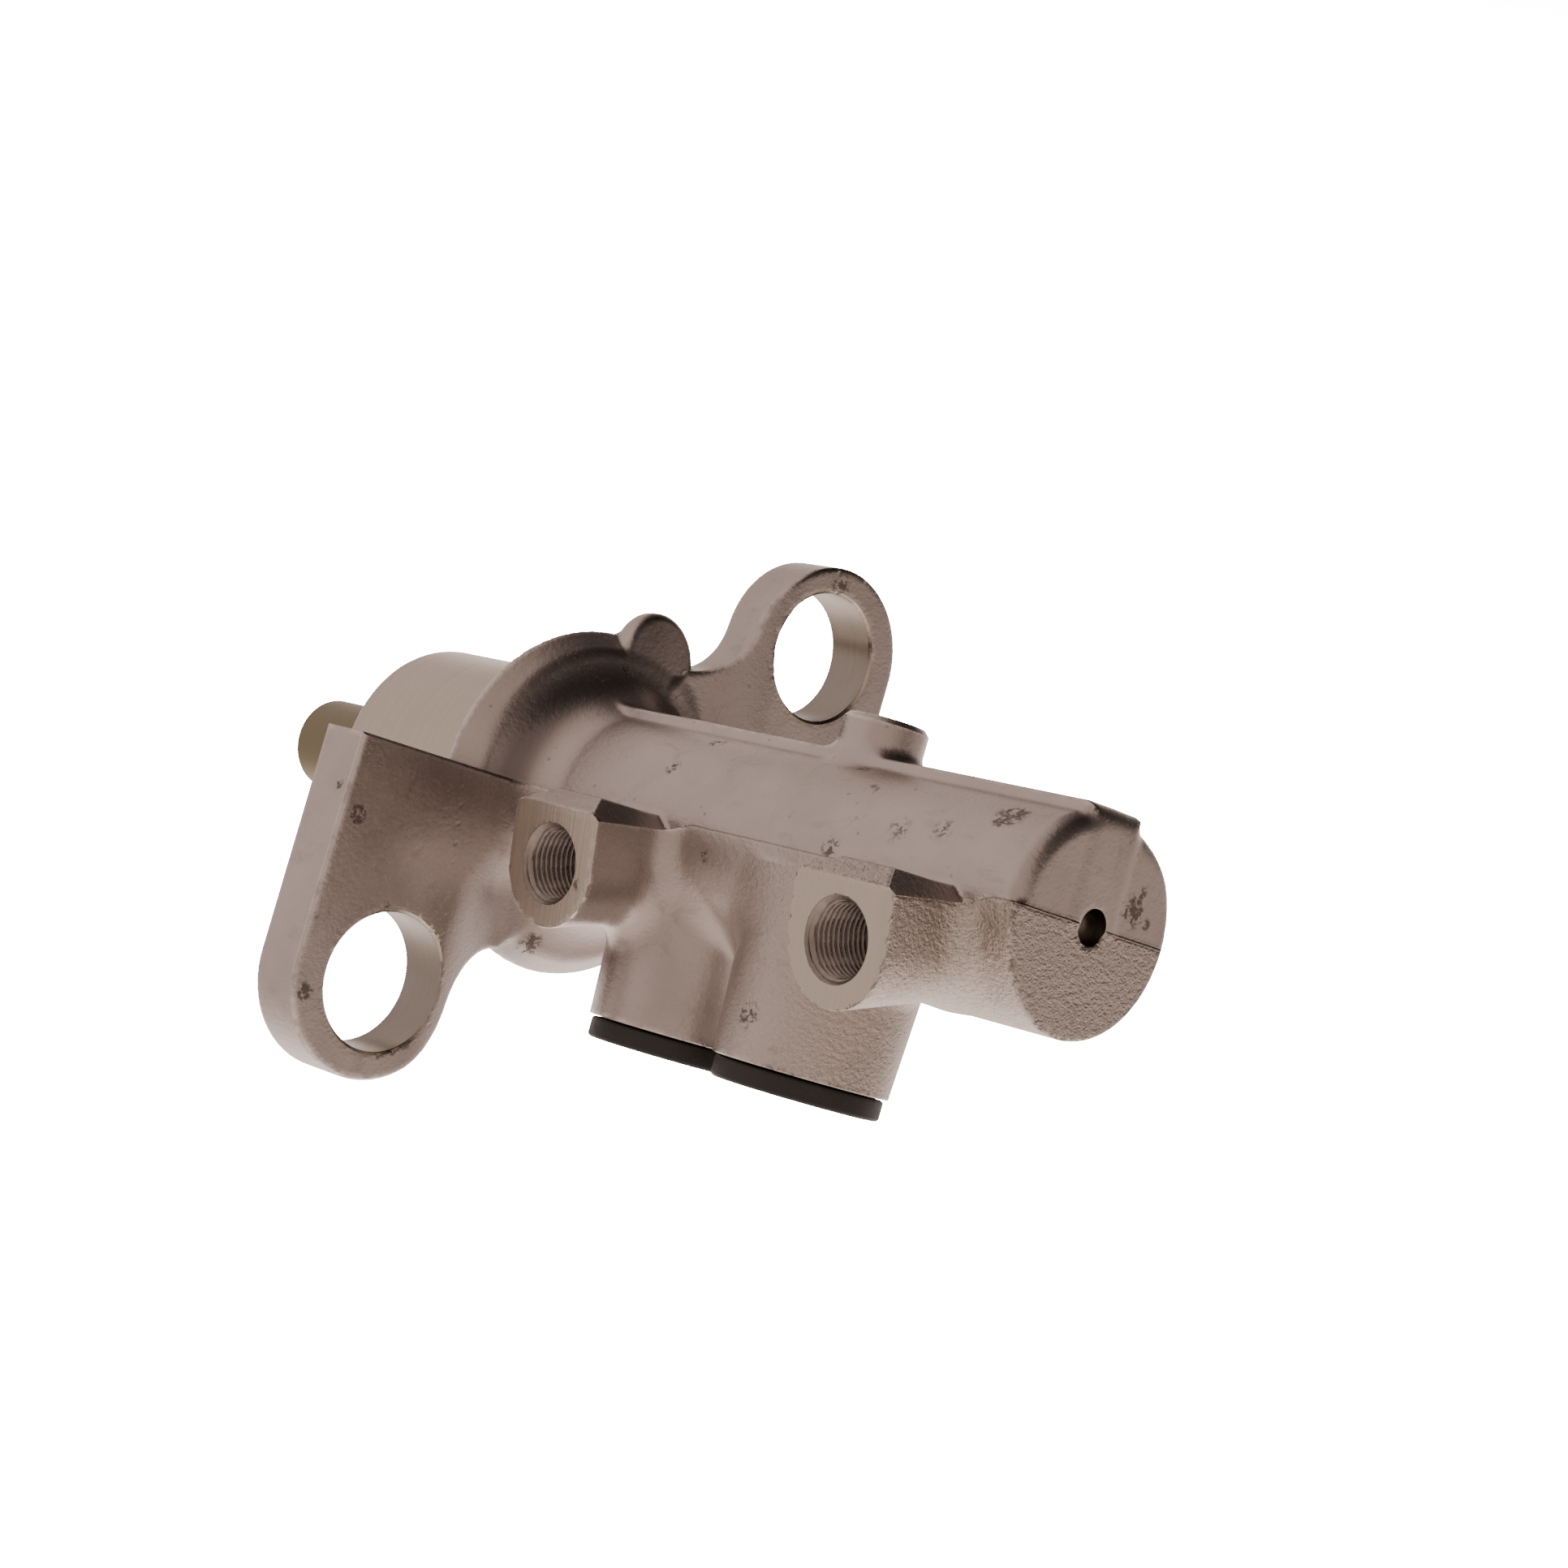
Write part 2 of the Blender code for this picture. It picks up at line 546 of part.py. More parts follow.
def secondary_group(parts):
    land_x = nose_set(parts, "secondary", SECONDARY_FRONT_X)
    rear = SECONDARY_REAR_X
    first = rear + 1.0 + TOUCH
    second = first + CUP_SHORT + TOUCH * 2 + 0.7
    groove_r = NOSE_R
    floor_rear = rear + STROKE - 4.4
    floor_front = floor_rear + 2.2
    profile = [
        (floor_front, 0), (floor_front, SPRING_BORE_R), (SECONDARY_FRONT_X, SPRING_BORE_R),
        (SECONDARY_FRONT_X, NOSE_R), (land_x, NOSE_R), (land_x, LAND_R), (land_x - 1.0, LAND_R),
        (land_x - 1.0, WAIST_R), (second + CUP_SHORT + TOUCH + 0.8, WAIST_R),
        (second + CUP_SHORT + TOUCH + 0.8, LAND_R), (second + CUP_SHORT + TOUCH, LAND_R),
        (second + CUP_SHORT + TOUCH, groove_r), (second - TOUCH, groove_r), (second - TOUCH, LAND_R),
        (first + CUP_SHORT + TOUCH, LAND_R), (first + CUP_SHORT + TOUCH, groove_r),
        (first - TOUCH, groove_r), (first - TOUCH, LAND_R), (rear, LAND_R), (rear, SLEEVE_BORE_R),
        (floor_rear, SLEEVE_BORE_R), (floor_rear, 0),
    ]
    turned("secondary_piston", parts, profile, ANODISED)
    short_cup("separator_cup_rear", parts, first, False)
    short_cup("separator_cup_front", parts, second, True)
    sleeve = [
        (SLEEVE_FLANGE_X + 0.9, SLEEVE_BORE_R), (SLEEVE_FLANGE_X + 0.9, SPRING_BORE_R - TOUCH),
        (SLEEVE_FLANGE_X, SPRING_BORE_R - TOUCH), (SLEEVE_FLANGE_X, SLEEVE_TUBE_R),
        (SLEEVE_LIP_X, SLEEVE_TUBE_R), (SLEEVE_LIP_X, SCREW_R + 0.2), (SLEEVE_LIP_X + 1.0, SCREW_R + 0.2),
        (SLEEVE_LIP_X + 1.0, SLEEVE_BORE_R),
    ]
    turned("spring_sleeve", parts, sleeve, STEEL)


CUP_SHORT = 3.0


def short_cup(name, parts, x, faces_front):
    seat = NOSE_R + 0.15
    wall = LAND_R - seat
    back, front = (x, x + CUP_SHORT) if faces_front else (x + CUP_SHORT, x)
    depth = 0.4 * CUP_SHORT * (1 if faces_front else -1)
    profile = [
        (front, LAND_R), (back, LAND_R - wall * 0.08), (back, seat), (front, seat + wall * 0.23),
        (front - depth, seat + wall / 2), (front, LAND_R - wall * 0.2),
    ]
    return turned(name, parts, profile, RUBBER)


def coil_spring(name, parts, low, high, turns):
    """A compression spring along X with closed, flat-lying end turns."""
    steps = int(turns * COIL_STEPS)
    travel = high - low - 2 * WIRE_R
    curve = bpy.data.curves.new(name, "CURVE")
    curve.dimensions = "3D"
    curve.bevel_depth = WIRE_R * MM
    curve.bevel_resolution = 1
    curve.use_fill_caps = True
    spline = curve.splines.new("POLY")
    spline.points.add(steps)
    closed = 0.9 * COIL_STEPS
    for i, point in enumerate(spline.points):
        middle = min(max(i - closed, 0.0), steps - 2 * closed) / (steps - 2 * closed)
        ends = min(i, closed) / closed + max(i - (steps - closed), 0.0) / closed
        rise = END_TURN_RISE * WIRE_R
        x = low + WIRE_R + rise * ends + (travel - 2 * rise) * middle
        angle = math.tau * i / COIL_STEPS
        point.co = (x * MM, SPRING_MEAN_R * math.cos(angle) * MM, SPRING_MEAN_R * math.sin(angle) * MM, 1)
    return curve_to_mesh(name, parts, curve, Matrix.Identity(4), SPRING_STEEL)


END_TURN_RISE = 2.3


def springs_and_seat(parts):
    primary_low = SCREW_ROOT_X + SCREW_ROOT_LENGTH + TOUCH
    coil_spring("primary_spring", parts, primary_low, SLEEVE_FLANGE_X - TOUCH, 8)
    floor_front = SECONDARY_REAR_X + STROKE - 4.4 + 2.2
    coil_spring("secondary_spring", parts, floor_front + TOUCH, SEAT_X - TOUCH, 7)
    tube_r = SPRING_MEAN_R - WIRE_R - SEAT_ROOM
    hole_r = tube_r - SEAT_WALL
    seat = [
        (SEAT_X + 1.0, hole_r), (SEAT_X + 1.0, SEAT_R), (SEAT_X, SEAT_R), (SEAT_X, tube_r),
        (SEAT_X - 5.0, tube_r - 0.2), (SEAT_X - 5.6, tube_r - 0.9), (SEAT_X - 5.6, hole_r),
    ]
    turned("secondary_spring_seat", parts, seat, STEEL)


def grommets(parts):
    """Rubber reservoir grommets: a flange on the casting and a grooved plug in the socket."""
    low = RESERVOIR_TOP + TOUCH
    top = low + GROMMET_FLANGE_T
    plug_r = SOCKET_R - TOUCH
    floor = SOCKET_FLOOR + 1.2
    profile = [
        (top, GROMMET_HOLE_R + 0.8), (top, GROMMET_FLANGE_R), (low, GROMMET_FLANGE_R), (low, plug_r),
        (low - 3.0, plug_r), (low - 4.0, plug_r - 0.8), (low - 5.0, plug_r), (floor, plug_r - 0.8),
        (floor, GROMMET_HOLE_R + 0.6), (top - 1.2, GROMMET_HOLE_R),
    ]
    for name, x in zip(("primary_grommet", "secondary_grommet"), RESERVOIR_X):
        turned(name, parts, profile, RUBBER, place=along_x(Vector((x, 0, 0)), Z_AXIS))


def build():
    clear_scene()
    parts = new_collection("brake_master_cylinder")
    helpers = new_collection("cutters", hidden=True)
    housing(parts, helpers)
    mouth_stack(parts)
    primary_group(parts)
    secondary_group(parts)
    springs_and_seat(parts)
    grommets(parts)
    for obj in parts.objects:
        smooth(obj)


build()
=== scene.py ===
"""Tandem brake master cylinder: the fine surfaces, finishes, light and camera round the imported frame.

Shapes are worked out in millimetres in the frame's own axes, +X towards the closed end, +Y towards the
outlet ports and +Z towards the reservoir grommets, and MM turns them into metres.
"""

import math

import bpy
import numpy as np
from mathutils import Matrix, Vector


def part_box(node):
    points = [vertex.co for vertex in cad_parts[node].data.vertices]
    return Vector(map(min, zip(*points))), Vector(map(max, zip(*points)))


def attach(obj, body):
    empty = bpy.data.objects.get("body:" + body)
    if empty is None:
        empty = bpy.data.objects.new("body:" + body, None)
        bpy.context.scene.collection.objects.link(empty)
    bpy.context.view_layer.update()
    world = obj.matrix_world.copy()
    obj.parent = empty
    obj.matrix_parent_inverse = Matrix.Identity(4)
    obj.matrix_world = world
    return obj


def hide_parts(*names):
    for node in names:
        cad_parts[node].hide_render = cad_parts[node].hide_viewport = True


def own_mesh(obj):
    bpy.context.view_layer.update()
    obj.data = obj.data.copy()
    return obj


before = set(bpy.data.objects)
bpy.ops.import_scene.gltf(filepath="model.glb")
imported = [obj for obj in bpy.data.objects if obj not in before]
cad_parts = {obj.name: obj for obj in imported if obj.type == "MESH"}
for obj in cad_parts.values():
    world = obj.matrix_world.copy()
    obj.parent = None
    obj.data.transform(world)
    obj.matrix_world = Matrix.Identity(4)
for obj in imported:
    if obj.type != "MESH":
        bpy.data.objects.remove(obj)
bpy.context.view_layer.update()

MM = 0.001

# ---- sizes of the casting ----

BARREL_R = 16.8
END_X = 117.4
DIMPLE_R = 2.8
HUB_R = 29.6
RIM_X = 4.6
RIM_R = 25.4
COVE_R = 8.9
FLANGE_T = 9.8
EAR_CENTRE = (37.6, 37.0)
EAR_R = 16.2
EAR_HOLE = (36.3, 37.0)
EAR_HOLE_R = 11.3
EAR_SIDE = 53.8
HOLLOW_CENTRE = (10.4, 38.2)
HOLLOW_R = 11.0
LOBE = (-5.5, -27.0)
LOBE_R = 8.0
RIB_HALF = 6.0
RIB_TOP = 17.4
RIB_BOSS = (66.2, 6.8, 23.7)
SPIGOT_R = 21.3
SPIGOT_X = -39.4
MOUTH_R = 15.5
MOUTH_X = -19.0
GROOVE = (-37.9, -35.9, 16.6)
BORE_R = 11.9
BORE_X = 109.0
PORT_X = (33.8, 98.9)
TILT = math.radians(10.8)
PORT_FACE = 32.2
PORT_OFFSET = 5.95
PORT_R = 10.05
PORT_HOLE_R = 6.45
PORT_DEPTH = 14.0
RESERVOIR_X = (39.0, 68.9)
RESERVOIR_TOP = 32.6
RESERVOIR_R = 14.0
SOCKET_R = 9.3
SOCKET_FLOOR = 20.0

OUT = np.array((0.0, math.cos(TILT), math.sin(TILT)))
ACROSS = np.array((0.0, -math.sin(TILT), math.cos(TILT)))


# ---- distance fields: negative inside, in millimetres ----

def ramp(value, low, high):
    """Smoothly 0 below low and 1 above high."""
    t = np.clip((value - low) / (high - low), 0, 1)
    return t * t * (3 - 2 * t)


def join(a, b, radius):
    """Union whose inner corner is a fillet of the given radius."""
    corner = np.hypot(np.maximum(radius - a, 0), np.maximum(radius - b, 0))
    return np.maximum(radius, np.minimum(a, b)) - corner


def trim(a, b, radius):
    """Intersection whose outer edge is rounded to the given radius."""
    corner = np.hypot(np.maximum(radius + a, 0), np.maximum(radius + b, 0))
    return np.minimum(-radius, np.maximum(a, b)) + corner


def arc(centre, radius, start, end, steps):
    t = np.radians(np.linspace(start, end, steps))
    return np.stack((centre[0] + radius * np.cos(t), centre[1] + radius * np.sin(t)), 1)


def flange_outline():
    """One ear: straight sides, its round end, the hollow beside it and the step that runs to the hub."""
    leave = math.degrees(math.atan2(HOLLOW_CENTRE[1] - EAR_CENTRE[1], HOLLOW_CENTRE[0] - EAR_CENTRE[0]))
    ends = np.array(((-10.3, 0.0), (EAR_SIDE, 0.0)))
    return np.concatenate((
        ends, arc(EAR_CENTRE, EAR_R, 0, leave, 34), arc(HOLLOW_CENTRE, HOLLOW_R, leave - 180, -84, 18),
    ))


FLANGE = flange_outline()


def outline_distance(u, v, outline):
    """Signed distance to a closed outline: the nearest of its straight edges, with crossings for the sign."""
    nearest = np.full(np.broadcast(u, v).shape, 1e9)
    outside = np.ones(nearest.shape)
    for (au, av), (bu, bv) in zip(outline, np.roll(outline, -1, axis=0)):
        eu, ev = bu - au, bv - av
        du, dv = u - au, v - av
        along = np.clip((du * eu + dv * ev) / (eu * eu + ev * ev), 0, 1)
        nearest = np.minimum(nearest, (du - eu * along) ** 2 + (dv - ev * along) ** 2)
        crosses = (v >= av) != (v >= bv)
        left = (eu * dv - ev * du) * (1 if ev > 0 else -1) > 0
        outside = np.where(crosses & left, -outside, outside)
    return np.sqrt(nearest) * outside


def ears(x, y, z, hub, barrel):
    """Both ears, filleted into the hub and barrel on their own side of the parting plane only."""
    both = []
    for side in (1, -1):
        outline = outline_distance(y * side, z * side, FLANGE)
        sunk = (FLANGE_T - RIM_X) * (1 - ramp(y * side, 11.0, 28.0)) * ramp(z * side, 8.0, 19.0)
        plate = np.maximum(trim(outline, x - FLANGE_T + sunk, 0.8), -x)
        filleted = join(join(hub, plate, 2.0), barrel, 8.0)
        both.append(np.minimum(plate, np.maximum(filleted, -z * side)))
    return np.minimum(*both)


def parting_height(x, y):
    """Height of the mould's parting surface: level, but stepping down each port boss's sloped shoulder."""
    height = np.zeros(np.broadcast(x, y).shape)
    for port in PORT_X:
        dx = np.abs(x - port)
        side = 8.8 + (y - 16.5) * 0.09
        slope = 3.9 + 0.75 * (np.minimum(dx, side) - 10.2) + 0.068 * (y - 32.0)
        fade = (1 - ramp(dx, side, side + 6.0)) * ramp(y, 8.0, 14.0)
        height = np.maximum(height, np.maximum(slope, 0) * fade)
    return height


def port_distance(x, y, z, port):
    """A port boss without its shoulder: round below, flat sides that taper in, and a flat face."""
    dx = np.abs(x - port)
    across = y * ACROSS[1] + z * ACROSS[2] - PORT_OFFSET
    out = y * OUT[1] + z * OUT[2]
    taper = (out - PORT_FACE) * 0.085
    girth = np.where(across > 0, np.hypot(dx, across), dx) - PORT_R - taper
    strip = 0.612 * (y - 28.4) - 0.791 * z
    shape = trim(girth, strip, 1.2)
    return np.maximum(trim(shape, out - PORT_FACE, 0.35), 10.0 - out)


def casting(x, y, z):
    """The cast body before machining."""
    r = np.hypot(y, z)
    edge = 0.8 + 2.2 * ramp(-z, -0.9, 0.9) * ramp(y, -15.0, -5.0)
    barrel = np.maximum(trim(r - BARREL_R, x - END_X, edge), -38 - x)
    face = (x - RIM_X + (r - RIM_R) * 0.2) * 0.98
    hub = trim(trim((x * 0.75 + r - HUB_R) * 0.8, face, 0.8), -x, 0.7)
    spigot = np.maximum(trim(r - SPIGOT_R, SPIGOT_X - x, 1.0), x - 2)
    lobe = trim(np.hypot(y - LOBE[0], z - LOBE[1]) - LOBE_R, face, 1.2)
    rim = join(hub, np.maximum(lobe, 0.4 - x), 0.8)
    body = np.minimum(join(rim, barrel, COVE_R), spigot)
    body = np.minimum(body, ears(x, y, z, hub, barrel))
    rib = trim(trim(np.abs(y) - RIB_HALF, -RIB_TOP - z, 1.0), x - END_X, 2.6)
    body = join(body, np.maximum(np.maximum(rib, z), 3 - x), 1.0)
    wall = np.hypot(x - RIB_BOSS[0], y) - RIB_BOSS[1]
    crown = -RIB_BOSS[2] - z
    boss = np.maximum(np.maximum(np.maximum(wall, crown), (wall + crown) * 0.7071 + 0.6), z + 8)
    body = join(body, boss, 2.2)
    walls = [np.hypot(x - c, y) - RESERVOIR_R - (RESERVOIR_TOP - z) * 0.05 for c in RESERVOIR_X]
    towers = np.maximum(np.maximum(join(walls[0], walls[1], 4.0), z - RESERVOIR_TOP), 4 - z)
    body = join(body, towers, 3.0)
    clip = (parting_height(x, y) - z) * 0.8
    whole = body
    for port in PORT_X:
        boss = port_distance(x, y, z, port)
        filleted = np.maximum(join(boss, body, 5.2), clip)
        lipped = join(np.maximum(boss, clip), body, 0.8)
        near = np.minimum(np.minimum(filleted, lipped), body)
        near = np.maximum(near, y * OUT[1] + z * OUT[2] - PORT_FACE)
        whole = np.where(np.abs(x - port) < 24, np.minimum(whole, near), whole)
    return whole


def machining(x, y, z):
    """Everything that is cut out of the casting."""
    r = np.hypot(y, z)
    cut = np.maximum(r - BORE_R, x - BORE_X)
    cut = np.minimum(cut, np.maximum(r - MOUTH_R, x - MOUTH_X))
    cut = np.minimum(cut, np.maximum(r - GROOVE[2], np.maximum(GROOVE[0] - x, x - GROOVE[1])))
    cut = np.minimum(cut, (r - MOUTH_R + (x - SPIGOT_X) - 0.8) * 0.7071)
    for side in (1, -1):
        wall = np.hypot(y - side * EAR_HOLE[0], z - side * EAR_HOLE[1]) - EAR_HOLE_R
        ream = (wall - 0.5 + (FLANGE_T - x)) * 0.7071
        cut = np.minimum(cut, np.maximum(np.minimum(wall, ream), np.abs(x - 5) - 7))
    across = y * ACROSS[1] + z * ACROSS[2] - PORT_OFFSET
    out = y * OUT[1] + z * OUT[2]
    for port in PORT_X:
        wall = np.hypot(x - port, across)
        floor = PORT_FACE - PORT_DEPTH - out
        hole = np.maximum(wall - PORT_HOLE_R, (floor + wall * 0.5 - 2.6) * 0.9)
        cut = np.minimum(cut, hole)
        cut = np.minimum(cut, np.maximum(wall - 1.5, 10.5 - out))
    for centre in RESERVOIR_X:
        socket = np.maximum(np.hypot(x - centre, y) - SOCKET_R, SOCKET_FLOOR - z)
        cut = np.minimum(cut, socket)
    dimple = np.hypot(r, np.maximum(END_X - 1.6 - x, 0)) - DIMPLE_R
    return np.minimum(cut, dimple)


def housing_field(x, y, z):
    return np.maximum(casting(x, y, z), -machining(x, y, z))


# ---- meshing a distance field ----

def steps(*stretches):
    """Grid stations: each (end, spacing) pair runs on from the last station."""
    stations = [np.array((stretches[0],))]
    for end, spacing in stretches[1:]:
        start = stations[-1][-1]
        count = max(int(round((end - start) / spacing)), 1)
        stations.append(np.linspace(start, end, count + 1)[1:])
    return np.concatenate(stations)


def slope(field, points, reach=0.01):
    """Unit normals of a field, from differences across a short reach."""
    normal = np.empty(points.shape)
    for axis in range(3):
        step = np.zeros(3)
        step[axis] = reach
        ahead = field(*(points + step).T)
        normal[:, axis] = ahead - field(*(points - step).T)
    return normal / np.maximum(np.linalg.norm(normal, axis=1, keepdims=True), 1e-9)


def contour(field, axes):
    """Dual contouring: one vertex in each grid cell that the surface crosses, placed where the planes that
    touch the surface on the cell's edges come nearest to meeting, so that sharp edges stay sharp."""
    values = np.concatenate([
        field(part[:, None, None], axes[1][None, :, None], axes[2][None, None, :]).astype(np.float32)
        for part in np.array_split(axes[0], 8)
    ])
    inside = values < 0
    cells_shape = [len(a) - 1 for a in axes]
    all_cells, all_points, all_turned = [], [], []
    for axis in range(3):
        low = [slice(None)] * 3
        high = [slice(None)] * 3
        low[axis], high[axis] = slice(None, -1), slice(1, None)
        place = np.stack(np.nonzero(inside[tuple(low)] != inside[tuple(high)]), 1)
        ahead = place.copy()
        ahead[:, axis] += 1
        a = np.stack([axes[k][place[:, k]] for k in range(3)], 1)
        b = np.stack([axes[k][ahead[:, k]] for k in range(3)], 1)
        fa = values[tuple(place.T)].astype(float)
        entering = fa < 0
        near = np.where(entering[:, None], a, b)
        far = np.where(entering[:, None], b, a)
        for _ in range(9):
            middle = (near + far) / 2
            within = (field(*middle.T) < 0)[:, None]
            near = np.where(within, middle, near)
            far = np.where(within, far, middle)
        u, v = (axis + 1) % 3, (axis + 2) % 3
        corners = []
        for du, dv in ((-1, -1), (0, -1), (0, 0), (-1, 0)):
            cell = place.copy()
            cell[:, u] += du
            cell[:, v] += dv
            corners.append(np.ravel_multi_index(tuple(cell.T), cells_shape))
        all_cells.append(np.stack(corners, 1))
        all_points.append((near + far) / 2)
        all_turned.append(entering)
    cells = np.concatenate(all_cells)
    points = np.concatenate(all_points)
    entering = np.concatenate(all_turned)
    normals = slope(field, points)
    ids, index = np.unique(cells.ravel(), return_inverse=True)
    index = index.ravel()
    normal = np.repeat(normals, 4, axis=0)
    point = np.repeat(points, 4, axis=0)
    count = np.bincount(index)
    mean = np.stack([np.bincount(index, point[:, k]) for k in range(3)], 1) / count[:, None]
    reach = (normal * (point - mean[index])).sum(1)
    matrix = np.empty((len(ids), 3, 3))
    for i in range(3):
        for j in range(3):
            matrix[:, i, j] = np.bincount(index, normal[:, i] * normal[:, j])
    matrix += np.eye(3) * 0.04
    goal = np.stack([np.bincount(index, normal[:, k] * reach) for k in range(3)], 1)
    vertices = mean + np.linalg.solve(matrix, goal[:, :, None])[:, :, 0]
    cell = np.stack(np.unravel_index(ids, cells_shape), 1)
    lows = np.stack([axes[k][cell[:, k]] for k in range(3)], 1)
    highs = np.stack([axes[k][cell[:, k] + 1] for k in range(3)], 1)
    vertices = np.clip(vertices, lows, highs)
    quads = index.reshape(-1, 4)
    quads = np.where(entering[:, None], quads, quads[:, ::-1])
    return vertices, quads


# ---- objects from arrays ----

def piece(name, vertices, faces, material, smooth_to=40.0):
    """A mesh object from millimetre points and faces, with edges sharper than the given angle kept sharp."""
    mesh = bpy.data.meshes.new(name)
    mesh.from_pydata((np.asarray(vertices) * MM).tolist(), [], [f for f in faces])
    mesh.materials.append(material)
    mesh.shade_smooth()
    mesh.set_sharp_from_angle(angle=math.radians(smooth_to))
    obj = bpy.data.objects.new(name, mesh)
    bpy.context.scene.collection.objects.link(obj)
    return obj


def give(obj, name, values):
    """Stores one number for each vertex, which a material reads by name."""
    store = obj.data.attributes.new(name, "FLOAT", "POINT")
    store.data.foreach_set("value", np.asarray(values, np.float32))


def soften(profile, radius, count=5):
    """Rounds each corner of a (station, radius) outline with an arc touching both of its sides."""
    points = [np.array(p, float) for p in profile]
    closed = not (profile[0][1] == 0 and profile[-1][1] == 0)
    out = []
    for i, corner in enumerate(points):
        before = points[i - 1]
        after = points[(i + 1) % len(points)]
        if not closed and i in (0, len(points) - 1):
            out.append(corner)
            continue
        back, ahead = before - corner, after - corner
        lengths = np.linalg.norm(back), np.linalg.norm(ahead)
        reach = min(radius, lengths[0] * 0.45, lengths[1] * 0.45)
        start = corner + back / lengths[0] * reach
        end = corner + ahead / lengths[1] * reach
        t = np.linspace(0, 1, count)[:, None]
        out.extend((1 - t) ** 2 * start + 2 * t * (1 - t) * corner + t ** 2 * end)
    return np.array(out)


def turned(name, profile, material, segments=128, base=(0, 0, 0), axis=(1, 0, 0), rounding=0.25):
    """A turned shape: point(s, t) = base + station(s) axis + radius(s) (cos t side + sin t other)."""
    area = sum(a[0] * b[1] - b[0] * a[1] for a, b in zip(profile, profile[1:] + profile[:1]))
    if area < 0:
        profile = profile[::-1]
    solid = profile[0][1] == 0 and profile[-1][1] == 0
    outline = soften(profile, rounding) if rounding else np.array(profile, float)
    axis = np.array(axis, float)
    side = np.array((0.0, 0.0, 1.0)) if abs(axis[0]) > 0.5 else np.array((1.0, 0.0, 0.0))
    other = np.cross(axis, side)
    t = np.arange(segments) * math.tau / segments
    ring = np.cos(t)[:, None] * side + np.sin(t)[:, None] * other
    rows = outline[1:-1] if solid else outline
    vertices = base + rows[:, None, :1] * axis + rows[:, None, 1:] * ring
    count = len(rows)
    i, j = np.meshgrid(np.arange(count if not solid else count - 1), np.arange(segments), indexing="ij")
    below, after = (i + 1) % count, (j + 1) % segments
    faces = np.stack((i * segments + j, below * segments + j, below * segments + after,
                      i * segments + after), -1).reshape(-1, 4).tolist()
    vertices = vertices.reshape(-1, 3)
    if solid:
        poles = np.array(base) + outline[[0, -1], :1] * axis
        first, last = len(vertices), len(vertices) + 1
        vertices = np.concatenate((vertices, poles))
        j = np.arange(segments)
        after = (j + 1) % segments
        faces += np.stack((np.full(segments, first), j, after), 1).tolist()
        row = (count - 1) * segments
        faces += np.stack((np.full(segments, last), row + after, row + j), 1).tolist()
    return piece(name, vertices, faces, material)


def coil(name, low, high, turns, mean_r, wire_r, material):
    """A helix of round wire along X, ground flat at both ends: centre(t) = (x(t), mean cos t, mean sin t),
    with the section's circle swept round it and its x held between the two end planes."""
    count = int(turns * 40)
    s = np.linspace(0, 1, count)
    t = s * turns * math.tau
    end = 0.95 / turns
    flat = wire_r * 1.15
    lift = wire_r * 2.1
    top = high - low - flat
    rise = np.interp(s, (0, end, 1 - end, 1), (flat, flat + lift, top - lift, top))
    centre = np.stack((low + rise, mean_r * np.cos(t), mean_r * np.sin(t)), 1)
    outward = np.stack((np.zeros(count), np.cos(t), np.sin(t)), 1)
    along = np.gradient(centre, axis=0)
    along /= np.linalg.norm(along, axis=1, keepdims=True)
    side = np.cross(along, outward)
    sides = 16
    a = np.arange(sides) * math.tau / sides
    rings = centre[:, None] + wire_r * (
        np.cos(a)[None, :, None] * outward[:, None] + np.sin(a)[None, :, None] * side[:, None]
    )
    rings[..., 0] = np.clip(rings[..., 0], low, high)
    i, j = np.meshgrid(np.arange(count - 1), np.arange(sides), indexing="ij")
    after = (j + 1) % sides
    faces = np.stack((i * sides + j, i * sides + after, (i + 1) * sides + after, (i + 1) * sides + j), -1)
    faces = faces.reshape(-1, 4).tolist()
    faces.append(list(range(sides))[::-1])
    faces.append([(count - 1) * sides + k for k in range(sides)])
    return piece(name, rings.reshape(-1, 3), faces, material, 60)


def thread(name, port, material):
    """The threaded lining of a port. Its inner radius at depth d and angle t is a rounded sawtooth of
    (d - t / tau) with a pitch of 1, widened to a cone at the mouth; its outer radius is constant."""
    root, crest, outer = 6.05, 5.45, PORT_HOLE_R - 0.02
    deep = 12.5
    around, down = 96, 126
    depth = np.linspace(0.02, deep, down)
    t = np.arange(around) * math.tau / around
    d, a = np.meshgrid(depth, t, indexing="ij")
    phase = (d + a / math.tau) % 1.0
    tooth = np.clip(np.abs(phase - 0.5) * 2.6 - 0.15, 0, 1)
    inner = crest + (root - crest) * tooth
    inner = np.maximum(inner, 6.42 - d * 0.85)
    inner = np.where(d > deep - 0.2, 5.5, inner)
    radii = np.concatenate((inner, np.full((1, around), outer), np.full((1, around), outer)))
    depths = np.concatenate((d, np.full((1, around), deep), np.full((1, around), 0.02)))
    angle = np.concatenate((a, a[:2]))
    base = np.array((port, 0, 0)) + ACROSS * PORT_OFFSET + OUT * PORT_FACE
    vertices = (
        base - depths[..., None] * OUT + (radii * np.cos(angle))[..., None] * np.array((1.0, 0, 0))
        + (radii * np.sin(angle))[..., None] * ACROSS
    )
    rows = down + 2
    i, j = np.meshgrid(np.arange(rows), np.arange(around), indexing="ij")
    below, after = (i + 1) % rows, (j + 1) % around
    faces = np.stack((i * around + j, i * around + after, below * around + after, below * around + j), -1)
    return piece(name, vertices.reshape(-1, 3), faces.reshape(-1, 4).tolist(), material, 60)


# ---- finishes ----

